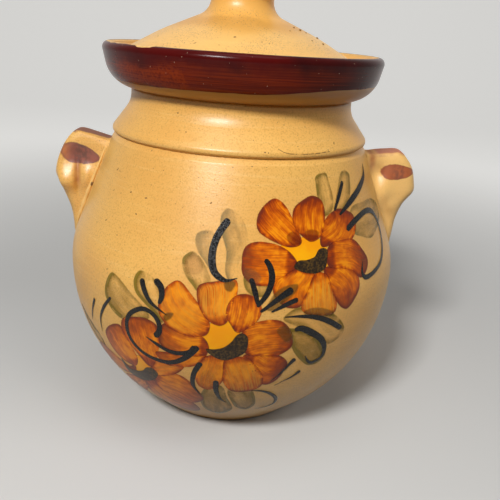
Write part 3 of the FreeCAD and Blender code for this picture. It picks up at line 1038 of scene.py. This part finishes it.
def add_lines(film, lines, lift, step, seed):
    """Brush lines that lie at two heights in turn, a step apart."""
    for order, line in enumerate(lines.values()):
        flat = [film.surface.flat(corner) for corner in line.path]
        grid = drawn_line(flat, np.array(line.widths_mm) * MM + SOFT_EDGE, seed + order)
        film.add(grid, lift + step * (order % 2), seed + order)


def paint_spray(belly):
    """The three flowers, their leaves and the black brush lines on the jar's belly."""
    films = {name: Film(name, belly) for name in SPRAY_PAINTS}
    for layer in SPRAY_LAYERS:
        add_patches(films[layer.piece], layer)
    add_lines(films["spray_black_lines"], BLACK_LINES, BLACK_LIFT, STROKE_STEP, BLACK_SEED)
    for name, paint in SPRAY_PAINTS.items():
        films[name].build(paint(), "jar", "ochre_glaze")


# The lid's painted rim

# A stretch of the rim between two turns in degrees, with a soft end inside each of them
Stretch = namedtuple("Stretch", "low high soft")
RIM_PAINT_EDGE = [
    (138, 84.5), (160, 87.5), (200, 91), (250, 94.5), (265, 95), (300, 93.3), (330, 91), (350, 90), (370, 88)]
LID_SEAT_Z = 177.4 * MM
LID_LIP_R = 69.3 * MM
LID_LIP_Z = 195.7 * MM
LID_LIP_RISES = range(0, 93, 4)
RIM_COLUMNS = 360
RIM_ROWS = 40
RIM_LIFT = 0.08 * MM
RIM_WAVER = 0.25 * MM
RIM_WAVES = 9
BARE_LIP_TURNS = Stretch(-88, -29, 9)
BARE_LIP = 1.5 * MM
BARE_LIP_SHARE = 0.8
BARE_LIP_JAG = 0.6
BARE_LIP_WAVES = 13
LIP_CHIP_TURNS = Stretch(-43, -33, 2)
LIP_CHIP = 1.3 * MM
RUST_TURNS = Stretch(-62, -17, 10)
# Turns over which the rim's paint is darkened as painted shade
PAINTED_SHADE_TURNS = Stretch(8, 175, 40)


def within(turn_deg, stretch):
    """1 inside a stretch, falling to 0 at its ends."""
    rise = np.clip((turn_deg - stretch.low) / stretch.soft, 0, 1)
    fall = np.clip((stretch.high - turn_deg) / stretch.soft, 0, 1)
    return float(rise * fall)


def bare_lip(turn):
    """Width of the lip that has no paint, at a turn."""
    degrees = math.degrees(turn)
    around = Vector((math.cos(turn), math.sin(turn), 0))
    jagged = BARE_LIP_SHARE + BARE_LIP_JAG * noise.noise(around * BARE_LIP_WAVES)
    return BARE_LIP * jagged * within(degrees, BARE_LIP_TURNS) + LIP_CHIP * within(degrees, LIP_CHIP_TURNS)


def add_ring_faces(film, columns, rows):
    """Faces of a closed ring of paint, whose lower corners follow all of its upper ones."""
    height = rows + 1
    under = columns * height
    for column in range(columns):
        here = column * height
        there = (column + 1) % columns * height
        for row in range(rows):
            quad = (here + row, there + row, there + row + 1, here + row + 1)
            film.faces.append(quad)
            film.faces.append(tuple(under + i for i in reversed(quad)))
        for row in (0, rows):
            film.walls.append(len(film.faces))
            film.faces.append((here + row, there + row, under + there + row, under + here + row))


def paint_rim():
    """A ring of paint on the lid's outside, from a wavering lower border over the lip, bare on the left."""
    lip = [(LID_LIP_R, LID_LIP_Z, rise) for rise in LID_LIP_RISES]
    lid = Turned("lid_saucer", level_casts(LID_SEAT_Z, LID_LIP_Z) + lip)
    edge = np.array([lid.flat(pixel) for pixel in RIM_PAINT_EDGE])
    turns = np.linspace(-math.pi, math.pi, RIM_COLUMNS, endpoint=False)
    runs = turns * lid.flat_radius
    lower = np.interp(runs, edge[:, 0], edge[:, 1], period=2 * math.pi * lid.flat_radius)
    shares = np.linspace(0, 1, RIM_ROWS + 1)
    film = Film("rim_paint", lid)
    flat = []
    for turn, run, low in zip(turns, runs, lower):
        degrees = math.degrees(turn)
        low += RIM_WAVER * noise.noise(Vector((math.cos(turn), math.sin(turn), 0)) * RIM_WAVES)
        lengths = low + (lid.lengths[-1] - bare_lip(turn) - low) * shares
        flat += [(run, length) for length in lengths]
        film.brush += [(run / MM, length / MM, 1.0) for length in lengths]
        film.place += [(0.0, 2 * share - 1, 1.0) for share in shares]
        film.load += [(within(degrees, RUST_TURNS), within(degrees, PAINTED_SHADE_TURNS), 0)] * len(shares)
    flat = np.array(flat)
    film.corners = np.vstack([lid.place(flat, RIM_LIFT), lid.place(flat, -RIM_LIFT)]).tolist()
    film.brush *= 2
    film.place *= 2
    film.load *= 2
    add_ring_faces(film, RIM_COLUMNS, RIM_ROWS)
    film.build(rim_paint(), "lid", "lid_glaze")


# The lugs: modelled by hand from a soft roll, so rounder and more uneven than the frame's

# A press is where a finger pushed the clay of a lug's front in, or swelled it out
Press = namedtuple("Press", "pixel half_wide_mm half_high_mm push_mm")
Dab = namedtuple("Dab", "ends half_mm colour end_colour dark_colour")
# The paint on a lug's top lies behind a line, given at the top's outer and inner ends, and stops at a reach
TopPaint = namedtuple("TopPaint", "outer_y_mm inner_y_mm inner_reach_mm colour")
# A bead of slip lies in the corner between a lug's front and the jar
Bead = namedtuple("Bead", "height_mm radius_mm")
Blob = namedtuple("Blob", "pixel radius_mm height_mm stretch lean_deg", defaults=(1.0, 0.0))
# A lug's pale lightens its glaze towards OCHRE_PALE; on the right lug it is painted light
Lug = namedtuple("Lug", "dab top_paint presses stains seam pits seed pale")
LUGS = {
    "left_handle": Lug(
        dab=Dab(
            [(62, 149), (98, 159)], 5.5, (0.25, 0.055, 0.040, 1), (0.50, 0.150, 0.030, 1),
            (0.085, 0.017, 0.017, 1)),
        top_paint=TopPaint(-5.0, -2.5, 66, (0.19, 0.058, 0.034, 1)),
        presses=[
            Press((75.8, 157.5), 11.6, 6.3, -2.6), Press((66.8, 180.5), 6.0, 5.0, 2.7),
            Press((87, 178.5), 3.0, 6.0, 1.6), Press((77.5, 178), 1.4, 9.0, -1.2)],
        # Darker down the groove between the two pillows of the front
        stains=[(77, 172)],
        seam=[
            Bead(146.5, 0.5), Bead(140, 0.75), Bead(128, 0.8), Bead(121, 0.9), Bead(116, 1.35),
            Bead(109, 1.15), Bead(102, 0.7), Bead(96, 0.35)],
        pits=[Blob((92.3, 183.5), 0.75, 0.5, 1.7, 60)],
        seed=3, pale=0.0),
    "right_handle": Lug(
        dab=Dab(
            [(383, 172), (412, 172)], 4.2, (0.36, 0.068, 0.011, 1), (0.37, 0.085, 0.030, 1),
            (0.17, 0.024, 0.006, 1)),
        top_paint=TopPaint(-6.5, -7.0, 75, (0.40, 0.125, 0.068, 1)),
        presses=[
            Press((377.4, 173), 4.8, 5.3, -2.3), Press((383, 194), 4.5, 6.0, 1.5),
            Press((391, 206), 3.0, 4.0, 0.8)],
        # Painted shadow in the crease against the jar; pale is painted light on this lug's front
        stains=[(373, 155)], seam=[], pits=[], seed=5, pale=0.7),
}
LUG_VOXEL = 0.6 * MM
LUG_SMOOTHING = 0.5
LUG_SMOOTHINGS = 8
LUG_ROOT_GAP = 0.4 * MM
LUG_ROOT_DEPTH = 3.0 * MM
LUG_FILLET = 0.9 * MM
LUG_FILLET_REACH = 3.0 * MM
LUG_UNEVEN = 0.25 * MM
LUG_UNEVEN_SPAN = 9.0 * MM
# A face is part of a lug's front from this lean forwards, and fully so past a soft stretch
LUG_FRONT = 0.6
LUG_FRONT_SOFT = 0.3
LUG_TIP_Z = 90 * MM
LUG_TIP_SOFT = 14 * MM
LUG_EDGE_ROUGHER = 0.3
LUG_PAINT_COVER = 0.94
GROOVE_DARKENING = (0.42, 0.150, 0.035, 1)
GROOVE_DARKENING_BASE = 0.35
# Distances to the sides of a darkened groove and above or below it at which the darkening is gone, and within
# which it is full
GROOVE_DARKENING_WIDE_MM = (3.0, 0.2)
GROOVE_DARKENING_HIGH_MM = (12.0, 3.0)
# Distances from the jar's axis between which the tops of the lugs are straight
LUG_TOP_REACH_MM = (74, 84)
# Depths under a lug's top at which its paint is gone, and within which it is full
TOP_PAINT_WRAP_MM = (4.1, 3.1)
TOP_PAINT_RAGGED_MM = 3.0
TOP_PAINT_LINE_SOFT_MM = 2.5
TOP_PAINT_END_SOFT_MM = 2.0
DAB_MARGIN_MM = 1
DAB_NARROWING = 0.28
DAB_RAGGED = 0.4
DAB_STREAKS = (0.55, 0.3, 0.40)
# A dab wraps back round the edge of the front from one depth, over another
DAB_WRAP_FROM_MM = 2.5
DAB_WRAP_MM = 5.5
SEAM_OUT = 0.5 * MM
SEAM_SIDES = 10
SEAM_STEPS = 60
SEAM_END = 0.02
SEAM_TAPER_POWER = 6
SEAM_UNEVEN = 0.4
SEAM_WAVES_PER_MM = 0.25


def clamped(value):
    return min(1.0, max(0.0, value))


def voxel_copy(mesh, name, voxel):
    """A copy of a closed mesh with even faces."""
    maker = bpy.data.objects.new(name, mesh)
    bpy.context.scene.collection.objects.link(maker)
    remesh = maker.modifiers.new("even", "REMESH")
    remesh.mode = "VOXEL"
    remesh.voxel_size = voxel
    smooth = maker.modifiers.new("smooth", "SMOOTH")
    smooth.factor = LUG_SMOOTHING
    smooth.iterations = LUG_SMOOTHINGS
    graph = bpy.context.evaluated_depsgraph_get()
    even = bpy.data.meshes.new_from_object(maker.evaluated_get(graph))
    even.name = name
    bpy.data.objects.remove(maker)
    return even


def rooted_lug(node, belly):
    """An even copy of a lug of the frame, with its root sunk into the jar."""
    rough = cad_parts[node].data.copy()
    for vertex in rough.vertices:
        near, normal, _, gap = belly.tree.find_nearest(vertex.co)
        if gap < LUG_ROOT_GAP:
            vertex.co = near - normal * LUG_ROOT_DEPTH
    mesh = voxel_copy(rough, node + "_modelled", LUG_VOXEL)
    bpy.data.meshes.remove(rough)
    mesh.materials.clear()
    return mesh


def shape_lug(mesh, lug, tree, belly):
    """Fills the root, presses the front into shape and makes the skin uneven."""
    presses = [(tree.ray_cast(EYE, pixel_ray(*press.pixel))[0], press) for press in lug.presses]
    normals = [vertex.normal.copy() for vertex in mesh.vertices]
    for vertex, outward in zip(mesh.vertices, normals):
        near, skin, _, gap = belly.tree.find_nearest(vertex.co)
        if (vertex.co - near).dot(skin) < 0:
            gap = 0.0
        above_tip = clamped((vertex.co.z - LUG_TIP_Z) / LUG_TIP_SOFT)
        push = LUG_FILLET * above_tip * clamped(1 - gap / LUG_FILLET_REACH) ** 2
        front = clamped((-outward.y - LUG_FRONT) / LUG_FRONT_SOFT)
        for spot, press in presses:
            wide = (vertex.co.x - spot.x) / (press.half_wide_mm * MM)
            high = (vertex.co.z - spot.z) / (press.half_high_mm * MM)
            push += press.push_mm * MM * front * math.exp(-wide ** 2 - high ** 2)
        push += LUG_UNEVEN * noise.noise(vertex.co / LUG_UNEVEN_SPAN + Vector((lug.seed, 0, 0)))
        vertex.co += outward * push


def model_lug(node, lug, belly, seam_painted_highlight_glaze, dirt):
    """A lug with a soft root, a pressed front, an uneven skin and a bead of slip along its seam."""
    tree = ray_tree(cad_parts[node].data)
    mesh = rooted_lug(node, belly)
    shape_lug(mesh, lug, tree, belly)
    side = math.copysign(1.0, mesh.vertices[0].co.x)
    trees = [belly.tree, ray_tree(mesh)]
    if lug.seam:
        spots = [root_spot(belly, trees[1], side, bead.height_mm * MM) for bead in lug.seam]
        radii = [bead.radius_mm * MM for bead in lug.seam]
        trees.append(ray_tree(add_seam(node + "_seam", spots, radii, lug.seed, seam_painted_highlight_glaze)))
    if lug.pits:
        add_blobs(node + "_seam_pits", trees, lug.pits, dirt, "jar")
    piece = add_piece(mesh, lug_glaze(node + "_glaze", lug, side, tree), "jar")
    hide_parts(node)


def root_spot(belly, tree, side, height):
    """Spot where a lug's front meets the jar at a height; side is -1 on the left and 1 on the right."""
    reach = float(np.interp(height, belly.heights, belly.radii)) + SEAM_OUT
    return tree.ray_cast(Vector((side * reach, -belly.FAR, height)), Vector((0, 1, 0)))[0]


def add_seam(name, spots, radii, seed, material):
    """An uneven bead of slip, half sunk, through spots from its top to its foot."""
    shares = np.linspace(0, 1, SEAM_STEPS + 1)
    spine, run = resampled(curve_through(spots), shares)
    heading = np.gradient(spine, axis=0)
    heading /= np.linalg.norm(heading, axis=1)[:, None]
    corners = []
    for share, centre, ahead in zip(shares, spine, heading):
        taper = math.sqrt(max(SEAM_END, 1 - (2 * share - 1) ** SEAM_TAPER_POWER))
        radius = np.interp(-centre[2], [-spot.z for spot in spots], radii) * taper
        radius *= 1 + SEAM_UNEVEN * waver(seed, share * run / MM * SEAM_WAVES_PER_MM)
        side = Vector(ahead).cross(Vector((0, 1, 0))).normalized()
        other = Vector(ahead).cross(side)
        for step in range(SEAM_SIDES):
            angle = 2 * math.pi * step / SEAM_SIDES
            corners.append(Vector(centre) + (side * math.cos(angle) + other * math.sin(angle)) * radius)
    faces = [tuple(range(SEAM_SIDES)), tuple(range(len(corners) - SEAM_SIDES, len(corners)))]
    for ring in range(SEAM_STEPS):
        for step in range(SEAM_SIDES):
            here = ring * SEAM_SIDES + step
            there = ring * SEAM_SIDES + (step + 1) % SEAM_SIDES
            faces.append((here, there, there + SEAM_SIDES, here + SEAM_SIDES))
    mesh = bpy.data.meshes.new(name)
    mesh.from_pydata(corners, [], faces)
    add_piece(mesh, material, "jar")
    return mesh


def groove_darkening_share(paint, groove, mottle):
    """Share of the brown darkening round a groove's spot."""
    x, _, z = paint.parts(paint.position_mm())
    beside = paint.math("ABSOLUTE", paint.total(x, -groove.x))
    above = paint.math("ABSOLUTE", paint.total(z, -groove.z))
    near = paint.product(paint.fade(beside, *GROOVE_DARKENING_WIDE_MM), paint.fade(above, *GROOVE_DARKENING_HIGH_MM))
    return paint.product(near, paint.total(mottle, GROOVE_DARKENING_BASE))


def top_share(paint, top_paint, side, tree, mottle):
    """Share of the paint on a lug's top."""
    x, y, z = paint.parts(paint.position_mm())
    inner, outer = [side * reach for reach in LUG_TOP_REACH_MM]
    down = Vector((0, 0, -1))
    inner_z, outer_z = [tree.ray_cast(Vector((end * MM, 0, 1)), down)[0].z / MM for end in (inner, outer)]
    slope = (outer_z - inner_z) / (outer - inner)
    depth = paint.total((x, slope), (z, -1.0), inner_z - slope * inner)
    slant = (top_paint.outer_y_mm - top_paint.inner_y_mm) / (outer - inner)
    behind_line = paint.total(y, (x, -slant), slant * inner - top_paint.inner_y_mm)
    within_reach = paint.total((x, side), -top_paint.inner_reach_mm)
    ragged = paint.product(mottle, TOP_PAINT_RAGGED_MM)
    return paint.product(
        paint.fade(paint.total(depth, ragged), *TOP_PAINT_WRAP_MM),
        paint.fade(paint.total(behind_line, ragged), 0.0, TOP_PAINT_LINE_SOFT_MM),
        paint.fade(within_reach, -TOP_PAINT_END_SOFT_MM, TOP_PAINT_END_SOFT_MM), LUG_PAINT_COVER)


def dab_layers(paint, dab, ends, mottle):
    """Share and colour of the dab on a lug's front, and how far across it each spot is."""
    at = paint.position_mm()
    axis = ends[1] - ends[0]
    axis.y = 0
    half = axis.length / 2 + DAB_MARGIN_MM
    axis.normalize()
    offset = paint.vector("SUBTRACT", at, (ends[0] + ends[1]) / 2)
    along = paint.math("DIVIDE", paint.vector("DOT_PRODUCT", offset, axis), half)
    across = paint.vector("DOT_PRODUCT", offset, (-axis.z, 0, axis.x))
    across = paint.math("DIVIDE", across, dab.half_mm)
    across = paint.math("DIVIDE", across, paint.total((along, -DAB_NARROWING), 1.0))
    behind = paint.total((paint.parts(offset)[1], 1 / DAB_WRAP_MM), -DAB_WRAP_FROM_MM / DAB_WRAP_MM)
    behind = paint.most(behind, 0.0)
    spread = paint.total((along, along), (across, across), (behind, behind), (mottle, DAB_RAGGED))
    streak = paint.noise(paint.vector("MULTIPLY", at, DAB_STREAKS), scale=1.0, detail=4.0)
    colour = paint.mix(paint.fade(along, -0.35, -0.95), dab.colour, dab.end_colour)
    heart = paint.fade(paint.math("ABSOLUTE", paint.total(along, -0.1)), 0.7, 0.0)
    heart = paint.product(heart, paint.fade(streak, 0.3, 0.6))
    border = paint.product(paint.fade(spread, 0.75, 1.1), 0.5)
    colour = paint.mix(paint.most(heart, border), colour, dab.dark_colour)
    return paint.product(paint.fade(spread, 1.28, 1.08), LUG_PAINT_COVER), colour, across


def lug_glaze(name, lug, side, tree):
    """Ochre glaze with a brown top, a darkened groove and a dab of paint on the front."""

    def spot(pixel):
        return tree.ray_cast(EYE, pixel_ray(*pixel))[0] / MM

    paint = Paint(name)
    colour, roughness, height = glaze_layers(paint, lug.seed)
    # Painted light: the glaze is made paler where pale is set, as on the right lug
    colour = paint.mix(lug.pale, colour, OCHRE_PALE)
    mottle = paint.noise(paint.position_mm(), scale=0.35, detail=3.0)
    # A brown darkening down a groove; on the right lug it is painted shadow in the crease
    for groove in map(spot, lug.stains):
        colour = paint.mix(groove_darkening_share(paint, groove, mottle), colour, GROOVE_DARKENING)
    colour = paint.mix(top_share(paint, lug.top_paint, side, tree, mottle), colour, lug.top_paint.colour)
    dab, dab_colour, across = dab_layers(paint, lug.dab, [spot(pixel) for pixel in lug.dab.ends], mottle)
    worn = paint.product(paint.fade(paint.upward(), 0.10, 0.35), paint.fade(across, 1.0, 1.2))
    roughness = paint.total(roughness, (worn, LUG_EDGE_ROUGHER))
    colour = paint.mix(dab, colour, dab_colour)
    return paint.finish(colour, roughness, height, GLAZE_DEPTH_MM, gloss=LUG_GLOSS)


# Pits, crumbs and scratches in the glaze

JAR_PITS = [
    Blob((118, 169), 0.22, 0.08, 4.0, 65), Blob((120, 171), 0.2, 0.08, 3.0, -40),
    Blob((131, 192), 0.35, 0.1, 1.6, 20), Blob((146, 198), 0.35, 0.1, 2.2, 15),
    Blob((136, 214), 0.3, 0.1, 1.8, -20), Blob((114, 190), 0.25, 0.1, 2.0, 30), Blob((121, 193), 0.25, 0.1),
    Blob((106, 220), 0.35, 0.1, 1.5, 40), Blob((97, 222), 0.3, 0.1), Blob((107, 269), 0.35, 0.1),
    Blob((211, 203), 0.25, 0.08, 2.5, 30), Blob((217, 195), 0.22, 0.08), Blob((206, 197), 0.22, 0.08),
    Blob((224, 189), 0.22, 0.08), Blob((117, 235), 0.25, 0.08, 2.0, 10),
]
COLLAR_PITS = [
    Blob((178, 113), 0.3, 0.1, 1.5, 0), Blob((284, 125), 0.25, 0.1), Blob((334, 143), 0.3, 0.1, 2.2, 60),
    Blob((186, 132), 0.22, 0.08, 2.0, 0), Blob((265, 152.5), 0.3, 0.1, 1.6, 0), Blob((268.5, 153), 0.3, 0.1),
    Blob((328, 150), 0.3, 0.1), Blob((333, 148), 0.25, 0.1), Blob((325, 152), 0.25, 0.1, 2.0, 0),
]
LID_PITS = [
    Blob((235, 37), 0.5, 0.1, 1.5, 20), Blob((158, 36), 0.35, 0.1), Blob((195, 43), 0.35, 0.1, 2.0, 45),
    Blob((240, 31), 0.25, 0.1), Blob((219, 45), 0.25, 0.1), Blob((262, 42), 0.3, 0.1),
]
LID_CRUMBS = [
    Blob((294, 28), 0.5, 0.5), Blob((300, 30.5), 0.7, 0.6), Blob((306, 33), 0.4, 0.4),
    Blob((317, 38.5), 0.7, 0.6), Blob((323, 44.5), 0.6, 0.5), Blob((312, 41), 0.4, 0.35),
    Blob((290, 31), 0.35, 0.3),
]
COLLAR_SCRATCHES = {
    "left": Line([(278, 149), (286, 153), (299, 154.5)], [0.1, 0.16, 0.12]),
    "right": Line([(301, 154.5), (316, 153.5), (330, 151.5)], [0.1, 0.16, 0.12]),
}
COLLAR_SKIN = (154.6 * MM, 176 * MM)
SCRATCH_LIFT = 0.05 * MM
SCRATCH_SEED = 7
SCRATCH_BROKEN = 0.85
BLOB_UNEVEN = 0.5
BLOB_WAVES = 1.3
BLOBS_APART = 5


def seen_spot(trees, pixel):
    """Spot and normal of the first of several surfaces that the picture shows at a pixel."""
    hits = [tree.ray_cast(EYE, pixel_ray(*pixel)) for tree in trees]
    return min((hit for hit in hits if hit[0]), key=lambda hit: hit[3])[:2]


def add_blobs(name, trees, blobs, material, body):
    """Small uneven lumps, flat ones for filled pits, half sunk into a surface."""
    heap = bmesh.new()
    for order, blob in enumerate(blobs):
        spot, normal = seen_spot(trees, blob.pixel)
        lean = Matrix.Rotation(math.radians(blob.lean_deg), 3, "Z")
        turn = normal.to_track_quat("Z", "Y").to_matrix() @ lean
        size = Vector((blob.radius_mm * blob.stretch, blob.radius_mm, blob.height_mm)) * MM
        apart = Vector((order * BLOBS_APART, 0, 0))
        for vertex in bmesh.ops.create_icosphere(heap, subdivisions=2, radius=1.0)["verts"]:
            shaped = vertex.co * (1 + BLOB_UNEVEN * noise.noise(vertex.co * BLOB_WAVES + apart))
            vertex.co = spot + turn @ Vector((shaped.x * size.x, shaped.y * size.y, shaped.z * size.z))
    mesh = bpy.data.meshes.new(name)
    heap.to_mesh(mesh)
    heap.free()
    add_piece(mesh, material, body)


def add_marks(dirt):
    for name, node, blobs, body, slot in (
            ("jar_pits", "jar_body", JAR_PITS, "jar", "ochre_glaze"),
            ("collar_pits", "neck_collar", COLLAR_PITS, "jar", "ochre_glaze"),
            ("lid_pits", "lid_saucer", LID_PITS, "lid", "lid_glaze"),
            ("lid_crumbs", "lid_saucer", LID_CRUMBS, "lid", "lid_glaze")):
        add_blobs(name, [ray_tree(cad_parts[node].data)], blobs, dirt, body)
    scratches = Film("collar_scratches", Turned("neck_collar", level_casts(*COLLAR_SKIN)))
    add_lines(scratches, COLLAR_SCRATCHES, SCRATCH_LIFT, 0, SCRATCH_SEED)
    scratches.build(mark_paint("scratch_dirt", broken=SCRATCH_BROKEN), "jar", "ochre_glaze")


# Floor, lights and the world

# The floor and the world have a tone for rays that show the background and a darker one for bounced light
FLOOR_TONE = (0.62, 0.614, 0.596, 1)
FLOOR_BOUNCE = (0.15, 0.146, 0.138, 1)
WORLD_TONE = (0.45, 0.45, 0.44, 1)
WORLD_FILL = (0.022, 0.022, 0.021, 1)
FLOOR_ROUGHNESS = 0.8
# A glow that only background rays see keeps the floor pale where the lamps no longer reach
FLOOR_GLOW = (0.52, 0.515, 0.50, 1)
GLOW_FROM_MM = 150.0
GLOW_FULL_MM = 900.0
SWEEP_HALF = 3.0
SWEEP_BACK = 1.2
SWEEP_ROUND = 0.6
SWEEP_HIGH = 2.4
SWEEP_STEPS = 12
# A softbox lights a white face turned to it to its level, where 1 is white.
# One that isn't mirrored shines through a polariser, so that glossy faces don't show it.
Softbox = namedtuple("Softbox", "turn_deg rise_deg distance size level mirrored")
SOFTBOXES = {
    "key": Softbox(-23, 40, 1.0, (0.22, 0.14), 0.96, True),
    "side": Softbox(55, 40, 1.2, (0.7, 0.4), 0.23, False),
    "top": Softbox(0, 78, 1.2, (0.8, 0.6), 0.17, True),
    "back": Softbox(150, 15, 1.3, (0.9, 0.6), 0.50, False),
}
LAMP_AIM = Vector((0, 0, 0.13))


def floor_material():
    tree = Paint("floor")
    seen = tree.background_rays()
    x, y, _ = tree.parts(tree.position_mm())
    away = tree.math("SQRT", tree.total((x, x), (y, y)))
    glow = tree.product(seen, tree.fade(away, GLOW_FROM_MM, GLOW_FULL_MM))
    tree.feed(tree.inputs["Base Color"], tree.mix(seen, FLOOR_BOUNCE, FLOOR_TONE))
    tree.feed(tree.inputs["Emission Strength"], glow)
    tree.inputs["Emission Color"].default_value = FLOOR_GLOW
    tree.inputs["Roughness"].default_value = FLOOR_ROUGHNESS
    return tree.material


def add_stage():
    """A pale floor that curves up into a backdrop."""
    section = [(-SWEEP_HALF, 0.0)]
    for step in range(SWEEP_STEPS + 1):
        angle = math.pi / 2 * step / SWEEP_STEPS
        section.append((SWEEP_BACK + SWEEP_ROUND * math.sin(angle), SWEEP_ROUND * (1 - math.cos(angle))))
    section.append((SWEEP_BACK + SWEEP_ROUND, SWEEP_HIGH))
    corners = [(side * SWEEP_HALF, y, z) for y, z in section for side in (-1, 1)]
    faces = [(2 * i, 2 * i + 1, 2 * i + 3, 2 * i + 2) for i in range(len(section) - 1)]
    mesh = bpy.data.meshes.new("floor")
    mesh.from_pydata(corners, [], faces)
    smooth_faces(mesh)
    mesh.materials.append(floor_material())
    floor = bpy.data.objects.new("floor", mesh)
    bpy.context.scene.collection.objects.link(floor)
    return floor


def add_world():
    world = bpy.data.worlds.new("studio")
    world.use_nodes = True
    bpy.context.scene.world = world
    tree = Tree(world.node_tree)
    tone = tree.mix(tree.background_rays(), WORLD_FILL, WORLD_TONE)
    tree.feed(tree.nodes["Background"].inputs["Color"], tone)


def add_softbox(name, softbox):
    turn = math.radians(softbox.turn_deg)
    rise = math.radians(softbox.rise_deg)
    data = bpy.data.lights.new(name, "AREA")
    data.shape = "RECTANGLE"
    data.size, data.size_y = softbox.size
    data.energy = softbox.level * (math.pi * softbox.distance) ** 2
    toward = Vector((math.sin(turn) * math.cos(rise), -math.cos(turn) * math.cos(rise), math.sin(rise)))
    light = bpy.data.objects.new(name, data)
    light.location = LAMP_AIM + toward * softbox.distance
    light.rotation_euler = toward.to_track_quat("Z", "Y").to_euler()
    light.visible_glossy = softbox.mirrored
    light.visible_camera = False
    bpy.context.scene.collection.objects.link(light)
    return light


def add_lights(floor):
    """A key from the front left, soft light from the right and above, and a back light kept off the floor."""
    lights = {name: add_softbox(name, softbox) for name, softbox in SOFTBOXES.items()}
    flagged = bpy.data.collections.new("flagged_off")
    flagged.objects.link(floor)
    flagged.collection_objects[0].light_linking.link_state = "EXCLUDE"
    lights["back"].light_linking.receiver_collection = flagged


BELLY_SKIN = (1 * MM, 154 * MM)
JAR_SEED = 0
SEAM_SEED = 2


def dress(node, material):
    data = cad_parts[node].data
    data.materials.clear()
    data.materials.append(material)


def main():
    scene = bpy.context.scene
    scene.view_settings.view_transform = "Standard"
    jar_glaze = glaze("jar_glaze", JAR_SEED)
    lid_coat = lid_glaze()
    for node in ("jar_body", "neck_collar"):
        dress(node, jar_glaze)
    for node in ("lid_saucer", "lid_ring", "lid_knob"):
        dress(node, lid_coat)
    belly = Turned("jar_body", level_casts(*BELLY_SKIN))
    paint_spray(belly)
    paint_rim()
    # The seam's bead gets the palest glaze, a painted highlight along the seam
    seam_painted_highlight_glaze = glaze("seam_painted_highlight_glaze", SEAM_SEED, pale=1.0)
    dirt = mark_paint("dirt")
    for node, lug in LUGS.items():
        model_lug(node, lug, belly, seam_painted_highlight_glaze, dirt)
    add_marks(dirt)
    floor = add_stage()
    add_world()
    add_lights(floor)
    add_camera()


main()
